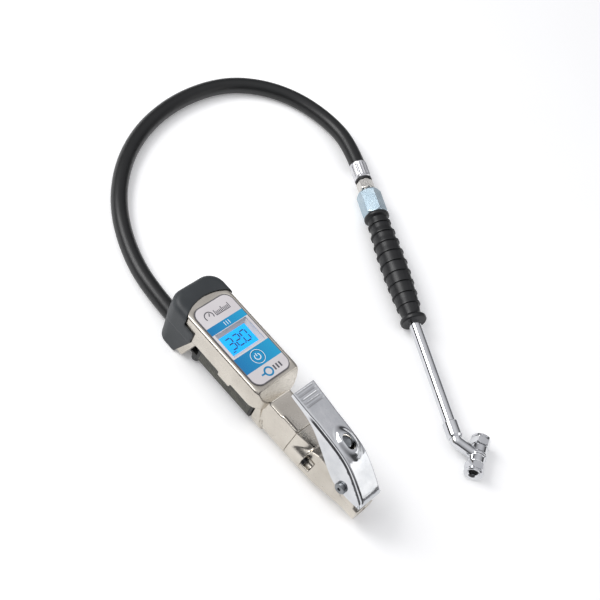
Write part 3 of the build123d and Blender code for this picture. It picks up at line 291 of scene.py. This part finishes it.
# Rear boot ------------------------------------------------------------------------------------------
# Soft rubber-like moulding that slips over the rear end and guards it when it is dropped.
# Injection-moulded elastomer: slate grey with a fine spark-eroded grain that keeps it matt.
boot_elastomer = surface("moulded_boot_elastomer", "#303437", "#2A2E31", 22.0, (0.46, 0.56), 0.5, 0.01)
boot = soft_copy("rubber_boot", "rear_boot", 0.65, 7)
finish_piece(boot, "root", "boot_rubber", boot_elastomer, "rubber_boot")


# Valve body -----------------------------------------------------------------------------------------
# Front casting of the same satin-plated zinc, screwed to the barrel from two side pockets. It has the
# air inlet's thread, the valve chamber and the lug that the lever turns on.
valve_casting = soft_copy("valve_body", "valve_casting", 0.6, 5)
finish_piece(valve_casting, "root", "casting", satin_nickel, "valve_body")

# Plain machine steel: grey, brushed by its turning.
machine_steel = surface("turned_steel", "#8F9295", "#7C7F82", 4.0, (0.28, 0.42), 0.3, 0.01, Metallic=1.0)
# Turned brass for seat, tail and end plug.
turned_brass = surface("turned_brass", "#C9A763", "#B4914E", 5.0, (0.25, 0.38), 0.3, 0.008, Metallic=1.0)
# Black nitrile seals, moulded and matt.
seal_nitrile = surface("nitrile_seal_rubber", "#1C1C1E", "#151517", 3.0, (0.5, 0.62), 0.3, 0.01)
# Socket screws coloured near black as painted shade for the deep side pockets they sit in, with a dull shine.
dark_screw_painted_shade = surface("dark_screw_steel_painted_shade", "#2E2E30", "#242426", 3.0, (0.3, 0.42), 0.3, 0.01, Metallic=1.0)
dress(dark_screw_painted_shade, "assembly_screws")
dress(machine_steel, "valve_plunger", "valve_spring", "board_screws", "battery_contacts")
dress(turned_brass, "valve_seat", "valve_end_plug", "hose_tail", "transfer_tube", "inlet_filter")
dress(seal_nitrile, "plunger_seal", "transfer_seals", "cover_gasket", "display_pad", "chuck_washers")


# Lever ----------------------------------------------------------------------------------------------
# Pressed steel channel, polished and chromed: a thumb pad with cross grooves, a domed oval with a slot
# and two cheeks that reach down to the pivot.
LEVER_HALF = 12.5
LEVER_WALL = 2.2
LEVER_EDGE_R = 1.8
LEVER_TOP = (
    (-97.0, 55.0), (-51.5, 50.2), (-34.0, 46.8), (-22.0, 40.8), (-1.5, 23.6), (0.6, 19.0), (-0.4, 15.6),
)
LEVER_LOW = (
    (-97.0, 51.8), (-77.0, 48.4), (-65.0, 42.6), (-52.0, 31.8), (-38.0, 19.6), (-28.5, 13.4), (-12.0, 13.2),
    (-0.4, 15.4),
)
DOME_X = -42.0
DOME_LENGTH = 34.0
DOME_WIDTH = 19.5
DOME_HEIGHT = 3.2
DOME_FLAT = 0.45
SLOT_Z = 50.0
SLOT_LENGTH = 14.0
SLOT_WIDTH = 9.0
SLOT_TURN = 11.0
CUTTER_HALF = 12.0
# The cheeks' lowest edges lean inwards, which leaves a dark line along them.
BEVEL_HEIGHT = 2.0
BEVEL_LEAN = 1.4
BEVEL_FULL_REACH = 8.0
GROOVES = (-95.5, -80.0)
GROOVE_PITCH = 3.4
GROOVE_DEPTH = 0.45


def rounded_line(points, cuts):
    """A smooth line near some points: each corner is cut off at a quarter of its sides, again and again."""
    line = np.array(points, float)
    for _ in range(cuts):
        near = 0.75 * line[:-1] + 0.25 * line[1:]
        far = 0.25 * line[:-1] + 0.75 * line[1:]
        inner = np.stack([near, far], 1).reshape(-1, line.shape[1])
        line = np.vstack([line[:1], inner, line[-1:]])
    return line


def evenly(line, count):
    """That many points along a line, evenly spaced by its length."""
    steps = np.linalg.norm(np.diff(line, axis=0), axis=1)
    run = np.concatenate([[0.0], np.cumsum(steps)])
    where = np.linspace(0.0, run[-1], count)
    return np.stack([np.interp(where, run, line[:, i]) for i in range(line.shape[1])], 1)


def grid_piece(name, grid, wrap_u=False, wrap_v=False, sharp=35.0):
    """A mesh on a grid of points in millimetres, u by v, joined round where asked, with its doubles
    merged, its normals outwards, and edges kept sharp where faces turn by more than an angle."""
    rows, columns = grid.shape[:2]
    index = np.arange(rows * columns).reshape(rows, columns)
    if wrap_u:
        index = np.vstack([index, index[:1]])
    if wrap_v:
        index = np.hstack([index, index[:, :1]])
    quads = np.stack([index[:-1, :-1], index[1:, :-1], index[1:, 1:], index[:-1, 1:]], -1).reshape(-1, 4)
    work_mesh = bpy.data.meshes.new(name)
    work_mesh.from_pydata((grid.reshape(-1, 3) * MM).tolist(), [], quads.tolist())
    work = bmesh.new()
    work.from_mesh(work_mesh)
    bmesh.ops.remove_doubles(work, verts=work.verts, dist=0.001 * MM)
    bmesh.ops.dissolve_degenerate(work, edges=work.edges, dist=0.0005 * MM)
    bmesh.ops.recalc_face_normals(work, faces=work.faces)
    work.to_mesh(work_mesh)
    work.free()
    work_mesh.polygons.foreach_set("use_smooth", np.ones(len(work_mesh.polygons), bool))
    work_mesh.set_sharp_from_angle(angle=radians(sharp))
    piece = bpy.data.objects.new(name, work_mesh)
    bpy.context.scene.collection.objects.link(piece)
    return piece


def lever_grid(stations=220):
    """Across each station of the top line the section goes up one cheek, round an edge, over the top and
    down the other cheek. The dome rises by a raised cosine of its elliptic distance."""
    top = evenly(rounded_line(LEVER_TOP, 3), stations)
    low = rounded_line(LEVER_LOW, 3)
    x, z = top.T
    low_z = np.interp(x, low[:, 0], low[:, 1])
    low_x = np.clip(x, LEVER_LOW[0][0], LEVER_LOW[-1][0])
    low_x[-1], low_z[-1] = LEVER_LOW[-1]
    tangent = np.gradient(top, axis=0)
    tangent /= np.linalg.norm(tangent, axis=1)[:, None]
    normal = np.stack([-tangent[:, 1], tangent[:, 0]], 1)
    normal = np.where((normal @ np.array([0.5, 1.0]) < 0)[:, None], -normal, normal)
    reach = np.hypot(x - low_x, z - low_z)
    edge = np.minimum(LEVER_EDGE_R, 0.45 * reach)
    rise_share = 1 - np.linspace(1.0, 0.0, 30)[None, :-1] ** 2.0
    shoulder_x = (x - normal[:, 0] * edge)[:, None]
    shoulder_z = (z - normal[:, 1] * edge)[:, None]
    cheek_x = low_x[:, None] * (1 - rise_share) + shoulder_x * rise_share
    cheek_z = low_z[:, None] * (1 - rise_share) + shoulder_z * rise_share
    below = (1 - rise_share) * np.hypot(shoulder_x - low_x[:, None], shoulder_z - low_z[:, None])
    lean = BEVEL_LEAN * np.clip(reach / BEVEL_FULL_REACH, 0.3, 1.0)[:, None]
    cheek_y = lean * np.clip(1 - below / BEVEL_HEIGHT, 0.0, 1.0) - LEVER_HALF
    bend = np.linspace(0.0, pi / 2, 9)[None, :-1]
    lift = edge[:, None] * (1 - np.sin(bend))
    bend_x = x[:, None] - normal[:, :1] * lift
    bend_z = z[:, None] - normal[:, 1:] * lift
    inner = LEVER_HALF - lean - edge[:, None]
    bend_y = -inner - edge[:, None] * np.cos(bend)
    across = np.linspace(-1.0, 1.0, 56)[None, :]
    flat_y = inner * across
    run = np.concatenate([[0.0], np.cumsum(np.hypot(*np.diff(top, axis=0).T))])
    middle = run[np.argmin(abs(x - DOME_X))]
    away = np.hypot((run[:, None] - middle) / (DOME_LENGTH / 2), flat_y / (DOME_WIDTH / 2))
    sink = -DOME_HEIGHT * 0.5 * (1 + np.cos(pi * np.clip((away - DOME_FLAT) / (1 - DOME_FLAT), 0.0, 1.0)))
    groove = GROOVE_DEPTH * np.clip(np.cos(2 * pi * (x - GROOVES[0]) / GROOVE_PITCH), 0.0, 1.0)
    groove = np.where((x > GROOVES[0]) & (x < GROOVES[1]), groove, 0.0)
    sink = sink + groove[:, None] * np.clip(4 * (1 - abs(across)), 0.0, 1.0)
    flat_x = x[:, None] - normal[:, :1] * sink
    flat_z = z[:, None] - normal[:, 1:] * sink
    half = [np.hstack([a, b]) for a, b in ((cheek_x, bend_x), (cheek_y, bend_y), (cheek_z, bend_z))]
    whole = [
        np.hstack([half[0], flat_x, half[0][:, ::-1]]),
        np.hstack([half[1], flat_y, -half[1][:, ::-1]]),
        np.hstack([half[2], flat_z, half[2][:, ::-1]]),
    ]
    return np.stack(whole, -1)


def cut_slot(piece, centre, length, width, turn):
    """Cuts an upright slot with round ends through a piece."""
    angle = np.linspace(0.0, 2 * pi, 48, endpoint=False)
    straight = (length - width) / 2
    outline_x = width / 2 * np.cos(angle) + np.sign(np.cos(angle)) * straight
    outline_y = width / 2 * np.sin(angle)
    ring = np.stack([outline_x, outline_y, np.zeros_like(angle)], 1)
    rings = np.stack([ring * 0.0, ring, ring, ring * 0.0])
    rings[:2, :, 2] = -CUTTER_HALF
    rings[2:, :, 2] = CUTTER_HALF
    spin = np.array(Matrix.Rotation(radians(turn), 3, "Y"))
    cutter = grid_piece("slot_cutter", rings @ spin.T + np.array(centre), wrap_v=True)
    cut = piece.modifiers.new("slot", "BOOLEAN")
    cut.operation = "DIFFERENCE"
    cut.object = cutter
    cut.solver = "EXACT"
    apply_modifiers(piece)
    bpy.data.objects.remove(cutter)


lever = grid_piece("lever_channel", lever_grid())
wall = lever.modifiers.new("wall", "SOLIDIFY")
wall.thickness = LEVER_WALL * MM
wall.offset = -1.0
wall.use_even_offset = False
apply_modifiers(lever)
cut_slot(lever, (DOME_X, 0.0, SLOT_Z), SLOT_LENGTH, SLOT_WIDTH, SLOT_TURN)
lever.data.set_sharp_from_angle(angle=radians(35.0))
# Polished chrome plating on pressed steel: a bright, cool mirror with slight ripples from the pressing.
pressed_chrome = surface(
    "pressed_steel_chromed", "#D6D7D9", "#C8CACD", 14.0, (0.07, 0.13), 3.2, 0.06, Metallic=1.0
)
finish_piece(lever, "lever_body", "lever_plating", pressed_chrome, "lever")
dress(machine_steel, "lever_pivot_screw", "lever_pivot_nut")


# Faceplate ------------------------------------------------------------------------------------------
# Printed polycarbonate overlay, stuck in the pod's recess inside a grey rim: silver grey with two blue
# bands, one of them round the button.
BUTTON_X = -143.2
BANDS = ((-181.0, 3.6), (BUTTON_X, 8.2))
FADE_HALF = 20.0
LABEL_TOP = 36.0
INK = 0.05
RING_R = 6.3
DIAL = (-193.0, -9.0)
DIAL_R = 4.2
RULER_X = -190.8
MARK_X = -128.0
# Printed polycarbonate: silver ink on its back shows through as a smooth half gloss.
faceplate_print = surface("printed_polycarbonate", "#D6D2D3", "#CFCACC", 30.0, (0.26, 0.34), 0.6, 0.002)
tree = faceplate_print.node_tree
place = add_node(tree, "SeparateXYZ", {"Vector": add_node(tree, "TexCoord").outputs["Object"]})
bands = [{0: place.outputs["X"], 1: centre * MM, 2: half * MM} for centre, half in BANDS]
masks = [add_node(tree, "Math", band_inputs, operation="COMPARE").outputs[0] for band_inputs in bands]
in_band = add_node(tree, "Math", {0: masks[0], 1: masks[1]}, operation="ADD", use_clamp=True)
across = {"Value": place.outputs["Y"], "From Min": -FADE_HALF * MM, "From Max": FADE_HALF * MM}
fade = add_node(tree, "MapRange", across)
blues = {"Factor": fade.outputs["Result"], 6: linear("#0074AE"), 7: linear("#0F9CCB")}
blue = add_node(tree, "Mix", blues, data_type="RGBA")
shader = tree.nodes["Principled BSDF"]
silver = shader.inputs["Base Color"].links[0].from_socket
inks = {"Factor": in_band.outputs[0], 6: silver, 7: blue.outputs[2]}
printed = add_node(tree, "Mix", inks, data_type="RGBA")
tree.links.new(printed.outputs[2], shader.inputs["Base Color"])
dress(faceplate_print, "label_panel", "unit_button")
# Grey rim seal, moulded in one with the overlay's edge.
rim_grey = surface("grey_rim_seal", "#68666A", "#5D5C60", 6.0, (0.4, 0.5), 0.5, 0.005)
dress(rim_grey, "label_gasket")


def ribbon_piece(name, lines, low, high):
    """Flat print or segments: each line of (x, y) points has its own width and becomes a closed strip
    from the low to the high level, which is a small rectangle carried along the line."""
    work = bmesh.new()
    for line, width in lines:
        line = np.array(line, float)
        way = np.gradient(line, axis=0)
        way /= np.linalg.norm(way, axis=1)[:, None]
        side = np.stack([-way[:, 1], way[:, 0]], 1) * width / 2
        closed = np.allclose(line[0], line[-1])
        corners = np.stack([line + side, line - side, line - side, line + side], 1)
        levels = np.broadcast_to(np.array([low, low, high, high])[None, :, None], (*corners.shape[:2], 1))
        points = np.concatenate([corners, levels], -1) * MM
        if closed:
            points = points[:-1]
        rings = [[work.verts.new(p) for p in ring] for ring in points]
        pairs = list(zip(rings, rings[1:]))
        if closed:
            pairs.append((rings[-1], rings[0]))
        else:
            work.faces.new(rings[0])
            work.faces.new(rings[-1][::-1])
        for a, b in pairs:
            for i in range(4):
                j = (i + 1) % 4
                work.faces.new((a[i], b[i], b[j], a[j]))
    bmesh.ops.recalc_face_normals(work, faces=work.faces)
    shape = bpy.data.meshes.new(name)
    work.to_mesh(shape)
    work.free()
    piece = bpy.data.objects.new(name, shape)
    bpy.context.scene.collection.objects.link(piece)
    return piece


def arc(centre, radius, start, end, count=40):
    """Points on an arc, its angles in degrees from +Y towards -X, as the faceplate is read."""
    angle = np.radians(np.linspace(start, end, count))
    return np.stack([centre[0] - radius * np.sin(angle), centre[1] + radius * np.cos(angle)], 1)


# Screen inks on the overlay: white, dark grey and blue, each with a dull satin face.
white_ink = surface("white_screen_ink", "#EDF4F8", "#E4EEF4", 4.0, (0.35, 0.45), 0.4, 0.001)
grey_ink = surface("grey_screen_ink", "#56565C", "#4C4C52", 4.0, (0.35, 0.45), 0.4, 0.001)
blue_ink = surface("blue_screen_ink", "#0A86B8", "#087BAB", 4.0, (0.35, 0.45), 0.4, 0.001)
white_lines = [(arc((BUTTON_X, 0.0), RING_R, 0, 360, 73), 0.5)]
band_x = BANDS[0][0]
white_lines += [([(band_x - 1.9, y), (band_x + 1.9, y)], 0.55) for y in (-2.4, 0.0, 2.4)]
white_marks = ribbon_piece("white_print", white_lines, LABEL_TOP, LABEL_TOP + INK)
finish_piece(white_marks, "root", "faceplate", white_ink)
# A small dial with its needle, a ruler beside it, and three bars by the button.
grey_lines = [(arc(DIAL, DIAL_R, -30, 210, 50), 0.9)]
grey_lines += [([DIAL, (DIAL[0] - 2.6, DIAL[1] + 1.8)], 0.9)]
for i, y in enumerate(np.arange(-2.4, 12.7, 1.5)):
    tick = 4.6 if i % 5 == 0 else 2.8
    grey_lines.append(([(RULER_X - 0.6, y), (RULER_X - 0.6 - tick, y)], 0.75))
grey_lines += [([(RULER_X, -2.8), (RULER_X, 13.0)], 0.7)]
grey_lines += [([(MARK_X - 2.4, y), (MARK_X + 2.4, y)], 1.6) for y in (5.0, 8.2, 11.4)]
grey_marks = ribbon_piece("grey_print", grey_lines, LABEL_TOP, LABEL_TOP + INK)
finish_piece(grey_marks, "root", "faceplate", grey_ink)
blue_lines = [(arc((MARK_X, -1.6), 3.7, 0, 360, 49), 1.6), ([(MARK_X, -9.4), (MARK_X, -5.8)], 1.6)]
blue_marks = ribbon_piece("blue_print", blue_lines, LABEL_TOP, LABEL_TOP + INK)
finish_piece(blue_marks, "root", "faceplate", blue_ink)
button_lines = [
    (arc((BUTTON_X, 0.0), 2.7, 125, 415, 41), 0.7),
    ([(BUTTON_X - 3.4, 0.0), (BUTTON_X - 0.6, 0.0)], 0.7),
]
button_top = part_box("unit_button")[1].z / MM
button_mark = ribbon_piece("button_print", button_lines, button_top, button_top + INK)
finish_piece(button_mark, "button_body", "faceplate", white_ink)


# Display --------------------------------------------------------------------------------------------
# Liquid crystal cell with a cyan backlight, set deep under a clear window in a white frame.
# The numerals are seven-segment bars in the cell.
DIGIT_HEIGHT = 10.5
DIGIT_WIDTH = 5.6
SEGMENT = 1.15
DIGIT_PITCH = 7.8
DIGIT_X = -165.0
BAR_SINK = 0.02
BAR_RISE = 0.06
CELL_GLOW = 0.75
# The ends of each bar, in half heights down the numeral and half widths across it.
SEGMENT_LINES = {
    "a": ((-1, -1), (-1, 1)),
    "b": ((-1, 1), (0, 1)),
    "c": ((0, 1), (1, 1)),
    "d": ((1, -1), (1, 1)),
    "e": ((0, -1), (1, -1)),
    "f": ((-1, -1), (0, -1)),
    "g": ((0, -1), (0, 1)),
}
SHOWN = ("abgcd", "abged", "abcdef")


def digit_lines(segments, middle):
    """The lit bars of one numeral; each stops short of its neighbours by a small gap."""
    lines = []
    for key in segments:
        (x0, y0), (x1, y1) = SEGMENT_LINES[key]
        start = np.array([x0 * DIGIT_HEIGHT / 2, y0 * DIGIT_WIDTH / 2])
        end = np.array([x1 * DIGIT_HEIGHT / 2, y1 * DIGIT_WIDTH / 2])
        gap = (end - start) / np.linalg.norm(end - start) * SEGMENT * 0.55
        place = np.array([DIGIT_X, middle])
        lines.append(([place + start + gap, place + end - gap], SEGMENT))
    return lines


cell_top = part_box("lcd_panel")[1].z / MM
numerals = []
for i, segments in enumerate(SHOWN):
    numerals += digit_lines(segments, (i - 1) * DIGIT_PITCH)
foot_x = DIGIT_X + DIGIT_HEIGHT / 2
numerals.append(([(foot_x - 0.7, DIGIT_PITCH / 2), (foot_x + 0.6, DIGIT_PITCH / 2)], 1.3))
numerals.append(([(DIGIT_X + 7.2, -11.6), (DIGIT_X + 7.2, -8.8)], 0.9))
numeral_bars = ribbon_piece("display_numerals", numerals, cell_top - BAR_SINK, cell_top + BAR_RISE)
# Dark bars of the cell against its light.
numeral_blue = surface("liquid_crystal_bars", "#075A86", "#064F78", 6.0, (0.3, 0.4), 0.5, 0.001)
finish_piece(numeral_bars, "root", "display_cell", numeral_blue)
# Backlit liquid crystal: even cyan that gives off some light.
lit_cell = surface(
    "backlit_liquid_crystal", "#27BCE8", "#1FB2E2", 12.0, (0.3, 0.4), 0.6, 0.001,
    Emission_Color=linear("#14B0DC"), Emission_Strength=CELL_GLOW,
)
# Polished acrylic: clear, smooth and faintly reflecting.
clear_acrylic = surface(
    "polished_clear_acrylic", "#FFFFFF", "#F8FBFC", 40.0, (0.02, 0.05), 2.0, 0.0005,
    Transmission_Weight=1.0, IOR=1.49,
)
# Milky light guide under the cell.
milky_guide = surface("milky_light_guide", "#E8F4F8", "#DDEEF4", 8.0, (0.4, 0.5), 0.6, 0.001)
# Pale grey moulded frame round the display.
frame_white = surface("moulded_display_frame", "#C9C6CA", "#BFBCC1", 8.0, (0.42, 0.52), 0.4, 0.004)
dress(lit_cell, "lcd_panel")
dress(clear_acrylic, "display_window")
dress(milky_guide, "backlight_panel")
dress(frame_white, "display_frame")


# Electronics ----------------------------------------------------------------------------------------
# Glass-fibre circuit board on four posts, with the pressure sensor under it and the button's switch.
# Green solder mask over laminate, half glossy, with the weave just showing.
solder_mask = surface("green_solder_mask", "#1E5B3A", "#174D30", 1.2, (0.3, 0.42), 0.4, 0.01)
# Black moulded component bodies.
component_black = surface("moulded_component_body", "#2A2B2D", "#232426", 3.0, (0.45, 0.55), 0.3, 0.005)
dress(solder_mask, "circuit_board")
dress(component_black, "pressure_sensor", "dome_switch")


# Battery bay ----------------------------------------------------------------------------------------
# Black tray with two cells, closed by a cover with fine upright ribs along its sides. One tapered
# black thumbscrew holds the cover to the rear block.
RIB_PITCH = 1.5
COVER_RIBS_X = (-180.5, -119.5)
COVER_RIBS_Z = (-4.8, 11.4)
COVER_RIBS_Y = 17.95
COVER_RIB_HEIGHT = 0.45


def ribbed_strip(side):
    """A thin plate on the cover's side whose outer face is a rectified sine along X."""
    ribs = int((COVER_RIBS_X[1] - COVER_RIBS_X[0]) / RIB_PITCH)
    x = np.linspace(*COVER_RIBS_X, 12 * ribs + 1)
    wave = COVER_RIB_HEIGHT * abs(np.sin(pi * (x - x[0]) / RIB_PITCH))
    inner = np.full_like(x, COVER_RIBS_Y - 0.3)
    outer = COVER_RIBS_Y + wave + 0.02
    low = np.full_like(x, COVER_RIBS_Z[0])
    high = np.full_like(x, COVER_RIBS_Z[1])
    rings = [(inner, low), (outer, low), (outer, high), (inner, high)]
    loop = np.stack([np.stack([x, side * y, z], 1) for y, z in rings], 1)
    ends = [np.repeat(loop[i].mean(0)[None, None], 4, 1) for i in (0, -1)]
    return np.concatenate([ends[0], loop, ends[1]])


# Glass-filled nylon: dark olive grey and dull, lightened on the ribs as a painted highlight.
cover_nylon_painted_highlight = surface("ribbed_nylon_cover_painted_highlight", "#5A5A52", "#4B4B45", 5.0, (0.45, 0.58), 0.4, 0.01)
# The cover's plain faces are the same nylon, darkened as painted shade.
cover_nylon_painted_shade = surface("plain_nylon_cover_painted_shade", "#2B2B29", "#232322", 9.0, (0.45, 0.55), 0.5, 0.008)
for label, side in (("left", -1), ("right", 1)):
    strip = grid_piece(f"cover_ribs_{label}", ribbed_strip(side), wrap_v=True)
    finish_piece(strip, "root", "cover_plastic", cover_nylon_painted_highlight)
# Black ABS for tray and knob.
black_abs = surface("moulded_black_abs", "#1F2022", "#18191B", 6.0, (0.32, 0.44), 0.4, 0.006)
# Printed shrink film round each cell.
cell_film = surface("cell_shrink_film", "#3B4B8C", "#334280", 10.0, (0.22, 0.3), 1.0, 0.004)
# The battery cover's faces carry the darker nylon, which is painted shade.
dress(cover_nylon_painted_shade, "battery_cover")
dress(black_abs, "battery_tray", "cover_thumbscrew")
dress(cell_film, "battery_cells")


# Lance ----------------------------------------------------------------------------------------------
# From the hose end outwards: fluted ferrule, black ring, small hexagon stem, large hexagon adaptor and
# rubber grip, all on one straight line over a plated steel tube.
HOSE_END = Vector(HOSE_ROUTE[-1])
LANCE_WAY = (HOSE_END - Vector(HOSE_ROUTE[-2])).normalized()
FERRULE_LENGTH = 18.0
FERRULE_GRIP = 16.0
LANCE_START = HOSE_END - LANCE_WAY * FERRULE_GRIP
STEM_START = 20.5
STEM_FLATS = 14.0
ADAPTOR_START = 33.5
ADAPTOR_FLATS = 20.5
ADAPTOR_R = 11.84
GRIP_START = 60.5
GRIP_LENGTH = 118.0
GRIP_END = GRIP_START + GRIP_LENGTH
GRIP_FLANGE_R = 12.0
GRIP_MAX_R = 13.0
GRIP_RINGS = 9
SEAM_ANGLES = (pi * 0.35, pi * 1.35)
SEAM_RISE = 0.55


def on_lance(points):
    """Moves points from a lance drawn along X to where it lies."""
    aside = Vector((0.0, 0.0, 1.0)).cross(LANCE_WAY)
    turn = np.array([LANCE_WAY, aside, (0.0, 0.0, 1.0)])
    return points @ turn + np.array(LANCE_START)


def turned_grid(profile, radius_rule, steps, spacing=0.6):
    """A closed (x, radius) outline turned round X; the rule may change each radius by x and angle."""
    pieces = []
    loop = list(profile) + [profile[0]]
    for start, end in zip(loop, loop[1:]):
        count = max(1, int(np.hypot(end[0] - start[0], end[1] - start[1]) / spacing))
        share = np.linspace(0.0, 1.0, count, endpoint=False)[:, None]
        pieces.append(np.array(start) * (1 - share) + np.array(end) * share)
    line = np.vstack(pieces)
    angle = np.linspace(0.0, 2 * pi, steps, endpoint=False)
    x = np.repeat(line[:, :1], steps, 1)
    radius = radius_rule(x, np.repeat(line[:, 1:], steps, 1), angle[None, :])
    return np.stack([x, radius * np.cos(angle), radius * np.sin(angle)], -1)


def hexagon_rule(flats, phase=0.0):
    """Cuts a turned shape back to a hexagon: the smaller of its radius and the hexagon's."""

    def rule(x, radius, angle):
        turn = (angle + phase) % (pi / 3) - pi / 6
        return np.minimum(radius, flats / 2 / np.cos(turn))

    return rule


def turned_piece(name, profile, rule, place, body, slot, look, *nodes, steps=96, sharp=30.0):
    """Makes, places and finishes one turned piece."""
    piece = grid_piece(name, place(turned_grid(profile, rule, steps)), True, True, sharp)
    finish_piece(piece, body, slot, look, *nodes)
    return piece


def flute_rule(x, radius, angle):
    """Crimp marks: shallow lengthwise flutes over the ferrule's middle."""
    middle = np.clip(np.minimum(x - 1.5, FERRULE_LENGTH - 1.5 - x) / 1.0, 0.0, 1.0)
    outer = radius > HOSE_R + 0.5
    return radius - np.where(outer, 0.4 * middle * (0.5 + 0.5 * np.cos(18 * angle)), 0.0)


# Aluminium ferrule, crimped: silvery with a slight drawn grain.
drawn_aluminium = surface("crimped_aluminium", "#E4E4E6", "#D6D6DA", 6.0, (0.24, 0.34), 0.5, 0.01, Metallic=1.0)
# Clear-blue passivated zinc plating on steel.
blue_zinc = surface("blue_passivated_zinc", "#B4C3CC", "#A3B5C0", 8.0, (0.24, 0.34), 0.6, 0.01, Metallic=1.0)
# Bright nickel plating.
bright_nickel = surface("bright_nickel", "#D4D1CC", "#C6C3BE", 8.0, (0.12, 0.2), 0.8, 0.006, Metallic=1.0)
# Moulded grip rubber: near black with a faint sheen.
grip_rubber = surface("moulded_grip_rubber", "#101114", "#0B0C0E", 10.0, (0.36, 0.48), 0.6, 0.012)

turned_piece(
    "crimped_ferrule",
    (
        (0.0, 7.6), (0.0, 8.1), (0.4, 8.4), (17.2, 8.4), (FERRULE_LENGTH, 7.8), (FERRULE_LENGTH, 4.4),
        (FERRULE_GRIP, 4.4), (FERRULE_GRIP, 7.6),
    ),
    flute_rule, on_lance, "root", "ferrule_aluminium", drawn_aluminium, "hose_ferrule", steps=216,
)
dress(seal_nitrile, "sealing_ring")
turned_piece(
    "small_hexagon",
    (
        (STEM_START, 0.8), (STEM_START, 6.8), (21.4, 8.3), (29.5, 8.3), (30.6, 6.9), (31.2, 6.4),
        (ADAPTOR_START, 6.4), (ADAPTOR_START, 0.8),
    ),
    hexagon_rule(STEM_FLATS, pi / 6), on_lance, "root", "nickel_plating", bright_nickel, "hose_stem", steps=120,
)
turned_piece(
    "large_hexagon",
    (
        (ADAPTOR_START, 5.1), (ADAPTOR_START, 9.7), (35.9, ADAPTOR_R), (58.1, ADAPTOR_R), (GRIP_START, 9.7),
        (GRIP_START, 5.6),
    ),
    hexagon_rule(ADAPTOR_FLATS, pi / 6), on_lance, "root", "zinc_plating", blue_zinc, "hex_adaptor", steps=144,
)


def grip_profile():
    """Lip, neck, nine thin rings on a belly that follows a sine, and the end flange."""
    start, end, flange = GRIP_START, GRIP_END, GRIP_FLANGE_R
    outline = [(start, 5.6), (start, 11.2), (start + 0.8, flange), (start + 3.0, flange)]
    outline += [(start + 3.8, 11.2), (start + 5.0, 9.6)]
    first = start + 11.5
    pitch = (GRIP_LENGTH - 24.0) / (GRIP_RINGS - 0.6)
    for i in range(GRIP_RINGS):
        x = first + pitch * i
        belly = 9.1 + 2.7 * sin(pi * (i + 0.9) / (GRIP_RINGS + 0.8))
        outline += [(x - 1.0, belly), (x - 0.6, belly + 1.2), (x + 0.5, belly + 1.2), (x + 0.9, belly)]
        outline += [(x + pitch * 0.5, belly)]
    outline[-1] = (end - 8.0, 8.7)
    outline += [(end - 6.6, 8.8), (end - 5.0, 11.0), (end - 3.6, flange), (end - 1.0, flange)]
    outline += [(end, 11.2), (end, 5.6)]
    return outline


def seam_rule(x, radius, angle):
    """The mould's two raised bands along the grip, each a smooth step above the web between rings."""
    outer = radius > 7.0
    from_start = np.clip((x - GRIP_START - 4.0) / 3.0, 0.0, 1.0)
    from_end = np.clip((GRIP_END - 8.0 - x) / 3.0, 0.0, 1.0)
    lift = 0.0
    for middle in SEAM_ANGLES:
        away = abs((angle - middle + pi) % (2 * pi) - pi) * 10.0
        lift = lift + np.clip((2.6 - away) / 0.6, 0.0, 1.0)
    inside = from_start * from_end
    return np.minimum(radius + np.where(outer, SEAM_RISE * lift * inside, 0.0), GRIP_MAX_R)


turned_piece(
    "ribbed_grip", grip_profile(), seam_rule, on_lance, "root", "grip_rubber", grip_rubber, "grip",
    steps=120, sharp=45.0,
)
# Bright chrome on the steel tube: neutral and mirror smooth.
bright_chrome = surface("bright_chrome", "#DCDDDF", "#D2D3D6", 12.0, (0.05, 0.10), 1.5, 0.003, Metallic=1.0)
dress(bright_chrome, "lance_tube", "tube_sleeve")


# Twin chuck -----------------------------------------------------------------------------------------
# Cross-drilled plated body brazed to the bent neck, with a hexagon cap at each end. Each cap has a
# dished mouth that pushes over the tyre's valve, and a sprung shuttle inside opens it.
HEAD_LOW, HEAD_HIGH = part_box("chuck_caps")
HEAD_CENTRE = (HEAD_LOW + HEAD_HIGH) / 2 / MM
HEAD_TURN = radians(-60.64)
CAP_FLATS = 16.0
CAP_R = 9.24
MOUTH_R = 4.1
chuck_casting = soft_copy("chuck_body", "chuck_core", 0.45, 4)
finish_piece(chuck_casting, "root", "nickel_plating", bright_chrome, "chuck_body")


def cap_place(way):
    """Places a cap drawn along X on the chuck's axis, facing out one way."""

    def place(points):
        spin = np.array(Matrix.Rotation(HEAD_TURN + (0.0 if way > 0 else pi), 3, "Z"))
        return points @ spin.T + np.array(HEAD_CENTRE)

    return place


CAP_PROFILE = (
    (9.0, 5.7), (9.0, 7.6), (10.1, CAP_R), (15.4, CAP_R), (16.2, 7.6), (16.7, 7.6), (17.7, 8.6), (18.5, 8.6),
    (19.0, 8.0), (18.3, 5.8), (17.0, MOUTH_R), (14.1, MOUTH_R), (14.1, 5.7),
)
for label, way in (("lower", 1), ("upper", -1)):
    turned_piece(
        f"chuck_cap_{label}", CAP_PROFILE, hexagon_rule(CAP_FLATS), cap_place(way), "root", "nickel_plating",
        bright_chrome, "chuck_caps", steps=120,
    )
dress(machine_steel, "chuck_shuttle")
